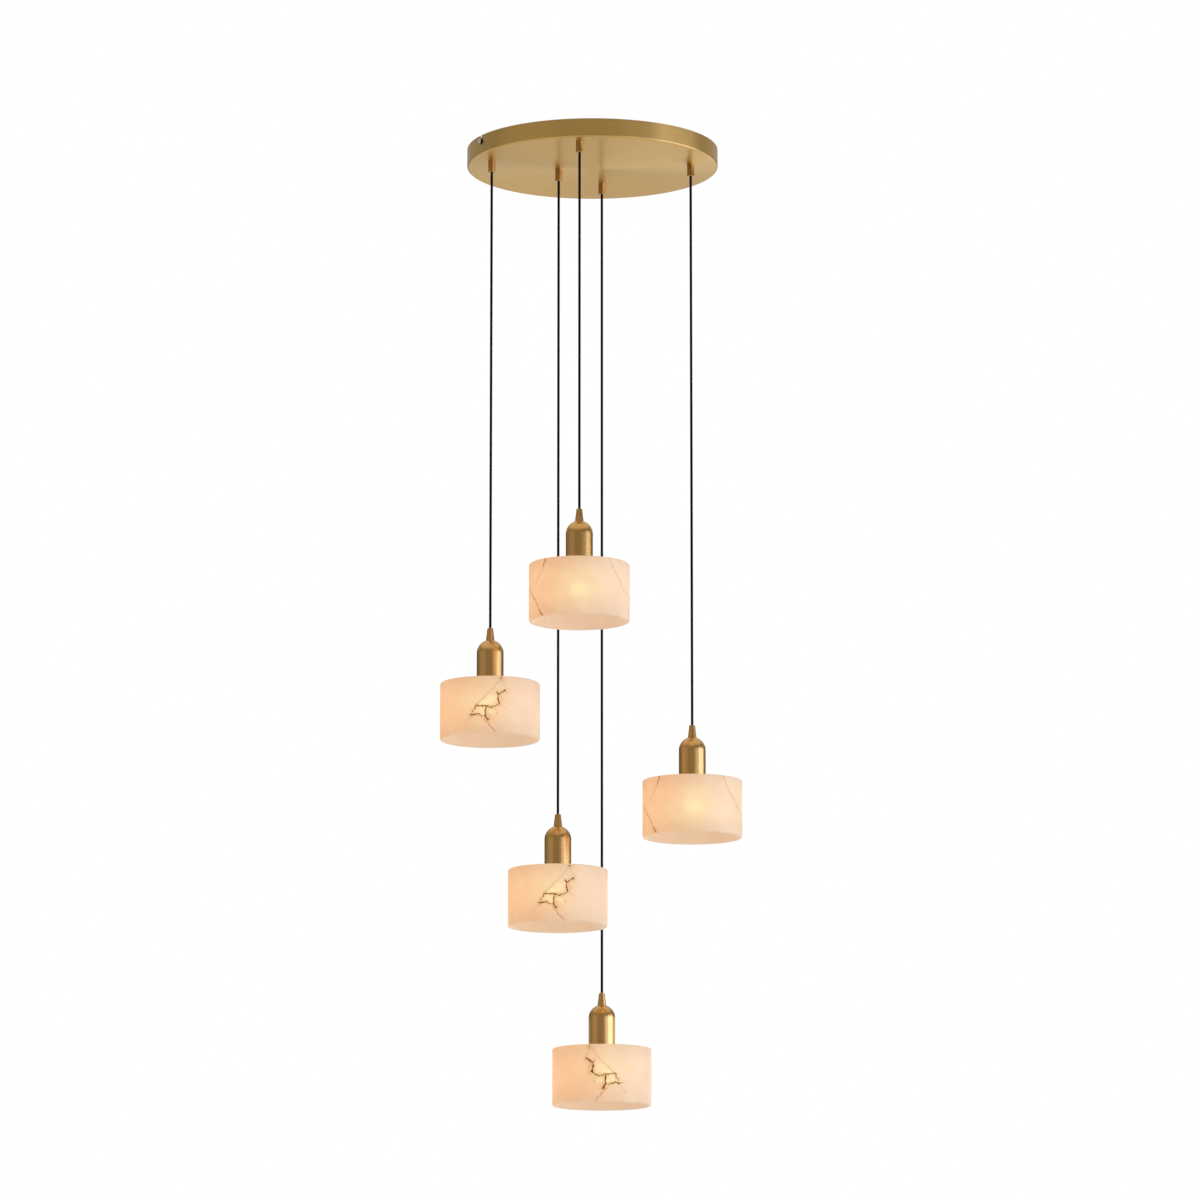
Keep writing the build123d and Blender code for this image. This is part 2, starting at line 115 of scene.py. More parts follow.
class Wiring:
    """A small helper that adds and links nodes in one node tree."""

    def __init__(self, tree: Tree) -> None:
        """Keeps the tree that the nodes go into."""
        self.tree = tree

    def plug(self, socket: Socket, value: object) -> None:
        """Links an output socket to an input, or sets the input's own value."""
        if isinstance(value, Socket):
            self.tree.links.new(value, socket)
        else:
            socket.default_value = value

    def node(self, kind: str, inputs: Optional[dict] = None, **settings: object) -> Node:
        """Adds a node.

        Args:
            kind: the node's type name without its ShaderNode prefix.
            inputs: value or output socket for each input, by name or number.
            settings: attributes set on the node.

        Returns:
            The new node.
        """
        made = self.tree.nodes.new("ShaderNode" + kind)
        for name, value in settings.items():
            setattr(made, name, value)
        for name, value in (inputs or {}).items():
            self.plug(made.inputs[name], value)
        return made

    def feed(self, node: Node, **inputs: object) -> None:
        """Links or sets a node's inputs.

        Args:
            node: the node.
            inputs: value or socket for each input, with spaces written as underscores.
        """
        for name, value in inputs.items():
            self.plug(node.inputs[name.replace("_", " ")], value)

    def math(self, operation: str, *values: object) -> Socket:
        """Adds a Math node and gives its output.

        Args:
            operation: the node's operation.
            values: numbers or sockets, in order.
        """
        return self.node("Math", dict(enumerate(values)), operation=operation).outputs[0]

    def times(self, first: object, second: object) -> Socket:
        """The product of two numbers."""
        return self.math("MULTIPLY", first, second)

    def plus(self, first: object, second: object) -> Socket:
        """The sum of two numbers."""
        return self.math("ADD", first, second)

    def minus(self, first: object, second: object) -> Socket:
        """The first number less the second."""
        return self.math("SUBTRACT", first, second)

    def larger(self, first: object, second: object) -> Socket:
        """The larger of two numbers."""
        return self.math("MAXIMUM", first, second)

    def vector(self, operation: str, *values: object) -> Socket:
        """Adds a Vector Math node and gives its output.

        Args:
            operation: the node's operation.
            values: vectors or sockets, in order.
        """
        out = "Value" if operation in ("LENGTH", "DISTANCE", "DOT_PRODUCT") else "Vector"
        return self.node("VectorMath", dict(enumerate(values)), operation=operation).outputs[out]

    def scaled(self, vector: object, factor: object) -> Socket:
        """A vector times a number."""
        return self.node("VectorMath", {0: vector, "Scale": factor}, operation="SCALE").outputs[0]

    def ramp(self, value: Socket, low: float, high: float, smooth: bool = True) -> Socket:
        """Maps a value from low..high to 0..1, clamped.

        Args:
            value: the socket to map.
            low: the value that gives 0.
            high: the value that gives 1.
            smooth: whether the ends are eased.
        """
        kind = "SMOOTHSTEP" if smooth else "LINEAR"
        node = self.node("MapRange", {0: value, 1: low, 2: high, 3: 0.0, 4: 1.0}, interpolation_type=kind)
        node.clamp = True
        return node.outputs[0]

    def mix(self, share: object, first: object, second: object, blend: str = "MIX") -> Socket:
        """Mixes two colours.

        Args:
            share: how much of the second shows, a number or a socket.
            first: the first colour, RGB or a socket.
            second: the second colour, RGB or a socket.
            blend: the node's blend type.
        """
        node = self.node("Mix", data_type="RGBA", blend_type=blend)
        for index, value in ((0, share), (6, first), (7, second)):
            self.plug(node.inputs[index], (*value, 1.0) if isinstance(value, tuple) else value)
        return node.outputs[2]

    def noise(
        self, place: object, scale: float, detail: float = 3.0, roughness: float = 0.55, out: str = "Fac"
    ) -> Socket:
        """Adds a Noise texture and gives its output.

        Args:
            place: where it is read.
            scale: its scale.
            detail: how many octaves it has.
            roughness: how strong the finer octaves are.
            out: which output is given.
        """
        inputs = {"Vector": place, "Scale": scale, "Detail": detail, "Roughness": roughness}
        return self.node("TexNoise", inputs).outputs[out]

    def group(self, tree: Tree, **inputs: object) -> Node:
        """Places a node group.

        Args:
            tree: the group.
            inputs: value or socket for each input, with spaces written as underscores.
        """
        made = self.node("Group", node_tree=tree)
        self.feed(made, **inputs)
        return made

    def place(self, centre: Point = ORIGIN) -> Socket:
        """The point that is shaded, in the part's frame, measured from a centre."""
        place = self.node("TexCoord").outputs["Object"]
        if not any(centre):
            return place
        return self.node("Mapping", {"Vector": place, "Location": tuple(-c for c in centre)}).outputs[0]


def new_group(
    name: str, inputs: Sequence[tuple[str, str]], outputs: Sequence[tuple[str, str]]
) -> tuple[Wiring, dict[str, Socket], Node]:
    """Starts a shader node group.

    Args:
        name: the group's name.
        inputs: name and kind (Float, Vector or Color) of each input.
        outputs: the same for each output.

    Returns:
        The group's wiring, its input sockets by name, and its output node.
    """
    tree = bpy.data.node_groups.new(name, "ShaderNodeTree")
    for way, sockets in (("INPUT", inputs), ("OUTPUT", outputs)):
        for label, kind in sockets:
            tree.interface.new_socket(label, in_out=way, socket_type="NodeSocket" + kind)
    source = tree.nodes.new("NodeGroupInput")
    end = tree.nodes.new("NodeGroupOutput")
    return Wiring(tree), {s.name: s for s in source.outputs}, end


@dataclass
class Effects:
    """The shader node groups that several finishes share."""

    turned_lines: Tree = field(init=False)
    handling: Tree = field(init=False)
    grain: Tree = field(init=False)
    braid: Tree = field(init=False)
    stroke: Tree = field(init=False)
    drum: Tree = field(init=False)

    def __post_init__(self) -> None:
        """Builds every group once."""
        self.turned_lines = self._turned_lines()
        self.handling = self._handling()
        self.grain = self._grain()
        self.braid = self._braid()
        self.stroke = self._stroke()
        self.drum = self._drum()

    def _turned_lines(self) -> Tree:
        """Fine lines that run round a vertical axis, as lathe brushing leaves them."""
        w, given, end = new_group(
            "Turned lines",
            [("Place", "Vector"), ("Lines per metre", "Float")],
            [("Height", "Float"), ("Tone", "Float")],
        )
        parts = w.node("SeparateXYZ", {0: given["Place"]}).outputs
        across = w.node("CombineXYZ", {0: parts[0], 1: parts[1]}).outputs[0]
        radius = w.vector("LENGTH", across)
        along = w.plus(radius, parts[2])
        angle = w.math("ARCTAN2", parts[1], parts[0])
        fine = w.times(along, given["Lines per metre"])
        sweep = w.times(w.math("SINE", angle), 0.6)
        where = w.node("CombineXYZ", {0: fine, 1: sweep}).outputs[0]
        lines = w.noise(where, 1.0, 4.0, 0.6)
        wide = w.vector("MULTIPLY", where, (0.2, 1.0, 1.0))
        tone = w.noise(wide, 1.0, 3.0, 0.5)
        w.feed(end, Height=lines, Tone=tone)
        return w.tree

    def _handling(self) -> Tree:
        """Faint smears and specks that handling and dust leave, as one mask."""
        w, given, end = new_group(
            "Handling", [("Place", "Vector"), ("Amount", "Float")], [("Mask", "Float")]
        )
        smear = w.ramp(w.noise(given["Place"], 22.0, 5.0, 0.62), 0.52, 0.72)
        speck = w.ramp(w.noise(given["Place"], 900.0, 2.0, 0.5), 0.66, 0.74)
        both = w.larger(w.times(smear, 0.6), speck)
        w.feed(end, Mask=w.times(both, given["Amount"]))
        return w.tree

    def _grain(self) -> Tree:
        """An even grain for moulded, cast and rolled surfaces."""
        w, given, end = new_group(
            "Grain", [("Place", "Vector"), ("Per metre", "Float")], [("Height", "Float"), ("Tone", "Float")]
        )
        fine = w.noise(w.scaled(given["Place"], given["Per metre"]), 1.0, 3.0, 0.6)
        slow = w.noise(given["Place"], 60.0, 4.0, 0.6)
        w.feed(end, Height=fine, Tone=slow)
        return w.tree

    def _braid(self) -> Tree:
        """The strands of a braided textile sleeve, read on the cord's own map."""
        w, given, end = new_group(
            "Braid", [("Map", "Vector"), ("Strands", "Float"), ("Turns", "Float")], [("Height", "Float")]
        )
        parts = w.node("SeparateXYZ", {0: given["Map"]}).outputs
        round_ = w.times(parts[0], given["Strands"])
        along = w.times(parts[1], given["Turns"])
        right = w.plus(round_, along)
        left = w.minus(round_, along)
        bump_right = w.math("ABSOLUTE", w.math("SINE", w.times(right, math.pi)))
        bump_left = w.math("ABSOLUTE", w.math("SINE", w.times(left, math.pi)))
        cells = w.plus(w.math("FLOOR", right), w.math("FLOOR", left))
        over = w.math("FLOORED_MODULO", cells, 2.0)
        top = w.node("Mix", {0: over, 2: bump_left, 3: bump_right}).outputs[0]
        under = w.node("Mix", {0: over, 2: bump_right, 3: bump_left}).outputs[0]
        height = w.larger(top, w.times(under, 0.55))
        w.feed(end, Height=height)
        return w.tree

    def _stroke(self) -> Tree:
        """One straight stretch of a vein: 1 on its line, 0 at its width, with a halo six widths wide."""
        w, given, end = new_group(
            "Vein stroke",
            [
                ("Place", "Vector"),
                ("From", "Vector"),
                ("To", "Vector"),
                ("Width", "Float"),
                ("Depth", "Float"),
            ],
            [("Mask", "Float"), ("Halo", "Float")],
        )
        run = w.vector("SUBTRACT", given["To"], given["From"])
        off = w.vector("SUBTRACT", given["Place"], given["From"])
        along = w.vector("DOT_PRODUCT", off, run)
        whole = w.vector("DOT_PRODUCT", run, run)
        share = w.node("Clamp", {0: w.math("DIVIDE", along, whole)}).outputs[0]
        nearest = w.scaled(run, share)
        gap = w.vector("DISTANCE", off, nearest)
        inside = w.minus(1.0, w.math("DIVIDE", gap, given["Width"]))
        mask = w.ramp(inside, 0.0, 0.7)
        w.feed(end, Mask=w.times(mask, given["Depth"]))
        halo = w.ramp(inside, -5.0, 0.3)
        near = w.math("MINIMUM", given["Depth"], 0.75)
        w.feed(end, Halo=w.times(halo, near))
        return w.tree

    def _drum(self) -> Tree:
        """Unrolls a drum's wall: distance round it, height, and how far out the point is."""
        w, given, end = new_group(
            "Drum map",
            [("Place", "Vector"), ("Radius", "Float")],
            [("Map", "Vector"), ("Turn", "Float"), ("Out", "Float")],
        )
        parts = w.node("SeparateXYZ", {0: given["Place"]}).outputs
        turn = w.math("ARCTAN2", parts[0], w.times(parts[1], -1.0))
        across = w.node("CombineXYZ", {0: parts[0], 1: parts[1]}).outputs[0]
        out = w.vector("LENGTH", across)
        where = w.node("CombineXYZ", {0: w.times(turn, given["Radius"]), 1: parts[2]}).outputs[0]
        w.feed(end, Map=where, Turn=turn, Out=out)
        return w.tree


def start_material(name: str) -> tuple[Material, Wiring, Node]:
    """Starts a material with one Principled shader.

    Args:
        name: the material's name.

    Returns:
        The material, its wiring and its shader node.
    """
    made = bpy.data.materials.new(name)
    made.use_nodes = True
    w = Wiring(made.node_tree)
    return made, w, made.node_tree.nodes["Principled BSDF"]


def bumped(w: Wiring, shader: Node, height: Socket, depth: float, strength: float = 1.0) -> None:
    """Feeds a height into the shader's normal through a Bump node.

    Args:
        w: the material's wiring.
        shader: the Principled shader.
        height: the height, 0 to 1.
        depth: what a height of 1 stands for, in metres.
        strength: the Bump node's strength.
    """
    bump = w.node("Bump", {"Strength": strength, "Distance": depth, "Height": height})
    w.feed(shader, Normal=bump.outputs[0])


@dataclass(frozen=True)
class TurnedBrass:
    """Brass brushed on a lathe, with its lines round a vertical axis."""

    name: str
    centre: Point
    colour: Colour = (0.55, 0.295, 0.078)
    edge: Colour = (0.86, 0.70, 0.42)
    roughness: float = 0.26
    lines_per_metre: float = 2600.0
    line_depth: float = 0.000004
    coat: float = 0.6
    brushing: float = 0.8

    def build(self, effects: Effects) -> Material:
        """Builds the material.

        Args:
            effects: the shared groups.
        """
        made, w, shader = start_material(self.name)
        centred = w.place(self.centre)
        lines = w.group(effects.turned_lines, Place=centred, Lines_per_metre=self.lines_per_metre)
        smears = w.group(effects.handling, Place=centred, Amount=0.3).outputs["Mask"]
        dark = tuple(c * 0.965 for c in self.colour)
        pale = tuple(min(1.0, c * 1.03) for c in self.colour)
        tone = w.mix(w.ramp(lines.outputs["Tone"], 0.3, 0.7), dark, pale)
        warm = tuple(c * k for c, k in zip(self.colour, (0.95, 0.88, 0.80)))
        rough = w.plus(w.times(lines.outputs["Height"], 0.06), self.roughness - 0.03)
        rough = w.plus(rough, w.times(smears, 0.08))
        around = w.node("Tangent", direction_type="RADIAL", axis="Z").outputs[0]
        w.feed(shader, Base_Color=w.mix(smears, tone, warm), Roughness=rough, Tangent=around)
        bumped(w, shader, lines.outputs["Height"], self.line_depth)
        w.feed(shader, Metallic=1.0, Coat_Weight=self.coat, Coat_Roughness=0.2)
        w.feed(shader, Specular_Tint=(*self.edge, 1.0))
        w.feed(shader, Anisotropic=self.brushing, Anisotropic_Rotation=0.25)
        return made


@dataclass(frozen=True)
class RolledMetal:
    """Plated or plain sheet and bar metal with an even grain."""

    name: str
    colour: Colour
    roughness: float = 0.32
    per_metre: float = 3000.0
    depth: float = 0.00001

    def build(self, effects: Effects) -> Material:
        """Builds the material.

        Args:
            effects: the shared groups.
        """
        made, w, shader = start_material(self.name)
        place = w.place()
        grain = w.group(effects.grain, Place=place, Per_metre=self.per_metre)
        smears = w.group(effects.handling, Place=place, Amount=0.6).outputs["Mask"]
        dark = tuple(c * 0.85 for c in self.colour)
        tone = w.mix(w.ramp(grain.outputs["Tone"], 0.35, 0.65), dark, self.colour)
        tone = w.mix(smears, tone, tuple(c * 0.8 for c in self.colour))
        rough = w.plus(w.times(grain.outputs["Tone"], 0.2), self.roughness - 0.1)
        w.feed(shader, Base_Color=tone, Roughness=rough, Metallic=1.0)
        bumped(w, shader, grain.outputs["Height"], self.depth)
        return made


@dataclass(frozen=True)
class ScrewWithPaintedShade:
    """Screws along X, one at each side, with a bright face; the head's sides, the shank and the driver slot
    are painted near black as painted shade.
    """

    name: str
    face_at: float
    face_low: float = 0.0007
    face_high: float = 0.0002
    slot_half: float = 0.0011
    slot_edge: float = 0.0002
    # painted shade: the colour of all but the head's face, standing in for the shadow in the rim's slot and
    # in the driver slot
    dark: Colour = (0.05, 0.042, 0.035)
    bright: Colour = (0.93, 0.92, 0.89)
    roughness: float = 0.25

    def build(self, effects: Effects) -> Material:
        """Builds the material.

        Args:
            effects: the shared groups.
        """
        made, w, shader = start_material(self.name)
        place = w.place()
        apart = w.node("SeparateXYZ", {0: place}).outputs
        out = w.math("ABSOLUTE", apart[0])
        aside = w.math("ABSOLUTE", apart[1])
        # 1 on the head's face; the rest of the screw, driver slot included, takes the painted shade colour
        face = w.ramp(out, self.face_at - self.face_low, self.face_at - self.face_high)
        face = w.times(face, w.ramp(aside, self.slot_half, self.slot_half + self.slot_edge))
        smears = w.group(effects.handling, Place=place, Amount=0.6).outputs["Mask"]
        bright = w.mix(smears, self.bright, tuple(c * 0.85 for c in self.bright))
        rough = w.plus(w.times(smears, 0.1), self.roughness)
        w.feed(shader, Base_Color=w.mix(face, self.dark, bright), Roughness=rough, Metallic=1.0)
        return made


@dataclass(frozen=True)
class Moulding:
    """Moulded plastic, nylon or glazed ceramic."""

    name: str
    colour: Colour
    roughness: float = 0.45
    per_metre: float = 1500.0
    depth: float = 0.00003
    coat: float = 0.0
    dust: Colour = (0.55, 0.5, 0.43)

    def build(self, effects: Effects) -> Material:
        """Builds the material.

        Args:
            effects: the shared groups.
        """
        made, w, shader = start_material(self.name)
        place = w.place()
        grain = w.group(effects.grain, Place=place, Per_metre=self.per_metre)
        dust = w.group(effects.handling, Place=place, Amount=0.5).outputs["Mask"]
        dark = tuple(c * 0.92 for c in self.colour)
        tone = w.mix(w.ramp(grain.outputs["Tone"], 0.35, 0.65), dark, self.colour)
        rough = w.plus(w.times(grain.outputs["Tone"], 0.16), self.roughness - 0.08)
        w.feed(shader, Base_Color=w.mix(w.times(dust, 0.3), tone, self.dust), Roughness=rough)
        bumped(w, shader, grain.outputs["Height"], self.depth, 0.6)
        if self.coat:
            w.feed(shader, Coat_Weight=self.coat, Coat_Roughness=0.12)
        return made


@dataclass(frozen=True)
class BraidedSleeve:
    """Black textile braid over a round cord, read on the cord's map; its crevices are painted darker and its
    raised strands paler, as painted shade.
    """

    name: str
    colour: Colour = (0.005, 0.0047, 0.0047)
    strands: float = 12.0
    turns_per_metre: float = 420.0
    depth: float = 0.00005

    def build(self, effects: Effects) -> Material:
        """Builds the material.

        Args:
            effects: the shared groups.
        """
        made, w, shader = start_material(self.name)
        uv = w.node("TexCoord").outputs["UV"]
        braid = w.group(effects.braid, Map=uv, Strands=self.strands, Turns=self.turns_per_metre)
        # Painted shade: the braid's raised strands are painted paler, and its crevices stay darker.
        pale = tuple(c * 1.7 for c in self.colour)
        tone = w.mix(w.ramp(braid.outputs["Height"], 0.3, 1.0), self.colour, pale)
        fibre = w.noise(uv, 800.0, 2.0, 0.6)
        tone = w.mix(w.times(w.ramp(fibre, 0.4, 0.75), 0.2), tone, pale)
        rough = w.plus(w.times(fibre, 0.2), 0.68)
        w.feed(shader, Base_Color=tone, Roughness=rough, Specular_IOR_Level=0.02)
        bumped(w, shader, braid.outputs["Height"], self.depth, 0.9)
        return made


@dataclass(frozen=True)
class OpalLamp:
    """The bulb's opal envelope, lit from inside."""

    name: str
    centre: Point
    colour: Colour = (1.0, 0.84, 0.58)
    cloud_glow: Colour = (1.0, 0.72, 0.42)
    upper_glow: Colour = (0.86, 0.60, 0.33)
    neck_glow: Colour = (0.50, 0.33, 0.18)
    glass: Colour = (0.60, 0.58, 0.54)
    neck_glass: Colour = (0.70, 0.66, 0.60)
    strength: float = 0.8

    def build(self, effects: Effects) -> Material:
        """Builds the material.

        Args:
            effects: the shared groups.
        """
        made, w, shader = start_material(self.name)
        centred = w.place(self.centre)
        height = w.node("SeparateXYZ", {0: centred}).outputs[2]
        neck = w.ramp(height, 0.012, 0.028)
        cloud = w.noise(centred, 40.0, 3.0, 0.5)
        lit = w.mix(w.times(cloud, 0.15), self.colour, self.cloud_glow)
        lit = w.mix(w.ramp(height, -0.012, 0.016), lit, self.upper_glow)
        lit = w.mix(neck, lit, self.neck_glow)
        glass = w.mix(neck, self.glass, self.neck_glass)
        w.feed(shader, Emission_Color=lit, Base_Color=glass, Roughness=w.plus(w.times(cloud, 0.1), 0.22))
        w.feed(shader, Emission_Strength=self.strength, Coat_Weight=0.3, Coat_Roughness=0.1)
        return made


@dataclass(frozen=True)
class Mark:
    """What a mark in the stone does to the light it lets through, and to its own colour."""

    glow: Colour
    stone: Colour
    glow_share: float = 1.0
    stone_share: float = 1.0


def metres(across_mm: float, up_mm: float) -> Point:
    """A place on the drum's map, from millimetres."""
    return (across_mm / 1000, up_mm / 1000, 0.0)


@dataclass(frozen=True)
class LitAlabaster:
    """Translucent veined stone with a lamp behind it. Its map runs from the front and the drum's middle."""

    name: str
    centre: Point
    block: int
    front_deg: float
    radius: float
    wall: float
    height: float
    vein: Vein
    mirrored: bool = False
    bulb_height: float = 0.0
    strength: float = 1.0
    warm_glow: Colour = (0.66, 0.32, 0.115)
    # painted light: the glow on the drum's right-hand side, painted paler as if lit from the right
    right_side_painted_light: Colour = (0.46, 0.315, 0.20)
    heart_glow: Colour = (0.72, 0.60, 0.26)
    stain_glow: Colour = (0.56, 0.26, 0.07)
    inside_glow: Colour = (0.405, 0.29, 0.19)
    end_share: float = 0.80
    pale_stone: Colour = (0.52, 0.40, 0.31)
    warm_stone: Colour = (0.56, 0.44, 0.35)
    rust: Mark = Mark((0.40, 0.20, 0.05), (0.44, 0.28, 0.12), 0.6, 0.5)
    fleck: Mark = Mark((0.26, 0.10, 0.01), (0.30, 0.15, 0.03), 0.8, 0.8)
    seam: Mark = Mark((0.26, 0.085, 0.022), (0.36, 0.17, 0.07), 0.6, 0.7)
    crack_edge: Mark = Mark((0.20, 0.07, 0.0), (0.19, 0.08, 0.01))
    crack_heart: Mark = Mark((0.11, 0.028, 0.0), (0.06, 0.02, 0.003))
    jag: float = 0.009
    pit_depth: float = 0.00004

    def strokes(self) -> list[tuple[Line, list[Spot], float, float]]:
        """The main veins: kind of line, points, half width in mm and depth.

        Points are in mm round the drum from its front, positive to the right, and mm above its middle.
        """
        if self.vein is Vein.QUIET:
            return [
                (Line.FINE, [(-57, 44), (-58, 40), (-61, 32)], 1.7, 1.5),
                (Line.FINE, [(-61, 32), (-69, 21), (-82, 7)], 1.5, 0.6),
                (Line.FINE, [(-107, 4), (-82, -18), (-71, -34)], 1.5, 1.15),
                (Line.FINE, [(-71, -34), (-65, -43)], 1.8, 1.5),
                (Line.FINE, [(50, 44), (54, 34), (67, 17), (82, 0), (107, -12)], 1.6, 0.6),
                (Line.CRACK, [(-65.4, -42), (-65, -43)], 1.2, 0.6),
            ]
        return [
            (Line.FINE, [(17, 39), (6, 24.5), (-2, 16.7), (-12, 7.2), (-21, -1.2)], 1.5, 0.5),
            (Line.FINE, [(-27, -17), (-30, -20), (-35.5, -26), (-41, -31)], 1.6, 0.4),
            (Line.FINE, [(-6.8, -24.6), (-2, -29.4), (1.8, -34.2), (7.6, -40.4), (10, -43.3)], 1.6, 0.9),
            (Line.FINE, [(17.4, 15), (19.8, 10.3), (22.3, 6.5)], 1.1, 0.6),
            (Line.FINE, [(19.4, 0.6), (22.3, -3.1), (27.4, -6.8)], 1.1, 0.4),
            (Line.FINE, [(7.6, -7.3), (10.5, -11.1), (13.5, -15.8)], 1.2, 0.55),
            (Line.FINE, [(20.5, 37), (21.3, 32.4), (26.4, 26.3)], 1.1, 0.45),
            (Line.CRACK, [(19.4, 41), (19.9, 40.6)], 1.5, 0.95),
            (Line.CRACK, [(24.4, 22.1), (25, 21.8)], 1.8, 1.4),
            (Line.CRACK, [(24.6, 22), (21.3, 19.9), (17.4, 17.9), (14.9, 15.7)], 1.15, 0.85),
            (Line.CRACK, [(12.3, 18.6), (14.6, 15)], 1.2, 0.95),
            (Line.CRACK, [(14.6, 15), (14.2, 8.2), (14.9, 3.4), (16.4, 1.5)], 1.45, 1.15),
            (Line.CRACK, [(16.4, 1.5), (12, -1.9), (7.6, -3.9), (3.8, -5.4)], 1.1, 0.65),
            (Line.CRACK, [(4.7, -5.4), (-2, -3), (-11.7, -2.4)], 1.3, 0.95),
            (Line.CRACK, [(-11.7, -2.4), (-21, -1.2), (-23, -6.9), (-26.5, -11.6)], 1.15, 0.7),
            (Line.CRACK, [(-26.9, -16.4), (-26.2, -16.4)], 1.6, 1.3),
            (Line.CRACK, [(-32, -16.2), (-26.5, -16.2), (-21.5, -15.2)], 1.1, 0.7),
            (Line.CRACK, [(-21.5, -15.2), (-13.6, -16.8), (-9.7, -19)], 1.1, 0.7),
            (Line.CRACK, [(-4.9, -4.4), (-5.9, -9.7), (-4.9, -14), (-6.3, -17.4)], 1.15, 0.75),
            (Line.CRACK, [(-6.3, -17.4), (-4.4, -20.8), (-1.8, -24.4)], 1.35, 1.1),
        ]

    def patches(self) -> list[tuple[Glow, float, float, float, float, float, float]]:
        """Painted hot spots of the bulb's light, and stained places: kind, across, up, half width, half
        height in mm, depth and softness.
        """
        if self.vein is Vein.QUIET:
            return [(Glow.PAINTED_HOT_SPOT, 0, -8, 17, 13, 0.85, 1.0), (Glow.PAINTED_HOT_SPOT, 0, -6, 36, 26, 0.4, 1.0)]
        return [
            (Glow.PAINTED_HOT_SPOT, 3, 6.5, 10, 8, 0.7, 0.6),
            (Glow.PAINTED_HOT_SPOT, -5, 1.5, 11, 4, 0.95, 0.5),
            (Glow.PAINTED_HOT_SPOT, 10.5, 9, 4.5, 7, 0.6, 0.6),
            (Glow.PAINTED_HOT_SPOT, -14.5, -8.5, 8.5, 6, 0.65, 0.5),
            (Glow.PAINTED_HOT_SPOT, -9, -13, 3.5, 5, 0.95, 0.5),
            (Glow.PAINTED_HOT_SPOT, 4, -11.5, 7.5, 5, 0.75, 0.6),
            (Glow.PAINTED_HOT_SPOT, -14, 6, 38, 26, 0.35, 1.0),
            (Glow.STAIN, 19, 7, 6, 11, 0.5, 0.8),
            (Glow.STAIN, 1.5, -21.5, 7, 7, 0.85, 0.8),
            (Glow.STAIN, 10, -12, 14, 14, 0.3, 1.0),
        ]

    def build(self, effects: Effects) -> Material:
        """Builds the material.

        Args:
            effects: the shared groups.
        """
        made, w, shader = start_material(self.name)
        turn = (0.0, 0.0, math.radians(self.front_deg))
        front = w.node("Mapping", {"Vector": w.place(self.centre), "Rotation": turn}).outputs[0]
        drum = w.group(effects.drum, Place=front, Radius=self.radius).outputs
        cut = w.vector("ADD", front, (0.37 * self.block, 0.0, 0.53 * self.block))
        side = -1.0 if self.mirrored else 1.0
        flat = w.vector("MULTIPLY", drum["Map"], (side, 1.0, 1.0))
        shake = w.vector("SUBTRACT", w.noise(front, 190.0, 5.0, 0.7, "Color"), (0.5, 0.5, 0.5))
        jagged = w.vector("MULTIPLY_ADD", shake, (self.jag, self.jag, self.jag), flat)
        jagged = w.vector("MULTIPLY", jagged, (1.0, 1.0, 0.0))
        outer = w.ramp(drum["Out"], self.radius - self.wall * 0.7, self.radius - self.wall * 0.3)
        cloud = w.noise(cut, 26.0, 5.0, 0.6)
        lines, halo = self._lines(w, effects, jagged)
        wander = w.times(w.ramp(w.noise(front, 150.0, 3.0, 0.6), 0.36, 0.6), 0.6)
        crack = w.times(lines[Line.CRACK], outer)
        edge = w.ramp(w.minus(crack, w.times(wander, 0.5)), 0.0, 0.4)
        heart = w.ramp(w.minus(crack, wander), 0.30, 0.65)
        specks = w.noise(w.vector("MULTIPLY", flat, (1.0, 1.5, 1.0)), 520.0, 4.0, 0.7)
        fleck = w.times(w.ramp(specks, 0.55, 0.61), w.ramp(halo, 0.08, 0.45))
        seam = w.times(self._far_seams(w, cut, drum["Turn"]), w.times(outer, 0.75))
        marks = (
            (w.ramp(w.times(halo, outer), 0.45, 0.95), self.rust),
            (w.times(fleck, outer), self.fleck),
            (w.larger(w.times(lines[Line.FINE], outer), seam), self.seam),
            (edge, self.crack_edge),
            (heart, self.crack_heart),
        )
        glow = self._clean_light(w, flat, drum["Turn"], cloud, self._spots(w, jagged), outer)
        stone = w.mix(w.ramp(cloud, 0.35, 0.7), self.pale_stone, self.warm_stone)
        for mask, mark in marks:
            glow = w.mix(w.times(mask, mark.glow_share), glow, mark.glow)
            stone = w.mix(w.times(mask, mark.stone_share), stone, mark.stone)
        glow = w.mix(outer, self.inside_glow, glow)
        w.feed(shader, Emission_Color=glow, Base_Color=stone, Roughness=w.plus(w.times(cloud, 0.15), 0.38))
        w.feed(shader, Emission_Strength=self.strength, Specular_IOR_Level=0.14)
        pits = w.noise(front, 700.0, 3.0, 0.6)
        bumped(w, shader, w.minus(pits, w.times(heart, 2.0)), self.pit_depth)
        return made

    def _lines(
        self, w: Wiring, effects: Effects, jagged: Socket
    ) -> tuple[dict[Line, Socket], Optional[Socket]]:
        """Draws every stroke.

        Args:
            w: the material's wiring.
            effects: the shared groups.
            jagged: the drum's map, shaken so that lines come out uneven.

        Returns:
            The mask of each kind of line, and the halo round the cracks.
        """
        lines: dict[Line, Socket] = {}
        halo: Optional[Socket] = None
        for kind, points, width, depth in self.strokes():
            for start, stop in zip(points, points[1:]):
                run = {"From": metres(*start), "To": metres(*stop), "Width": width / 1000}
                drawn = w.group(effects.stroke, Place=jagged, Depth=depth, **run).outputs
                lines[kind] = w.larger(lines[kind], drawn["Mask"]) if kind in lines else drawn["Mask"]
                if kind is Line.CRACK:
                    halo = drawn["Halo"] if halo is None else w.larger(halo, drawn["Halo"])
        return lines, halo

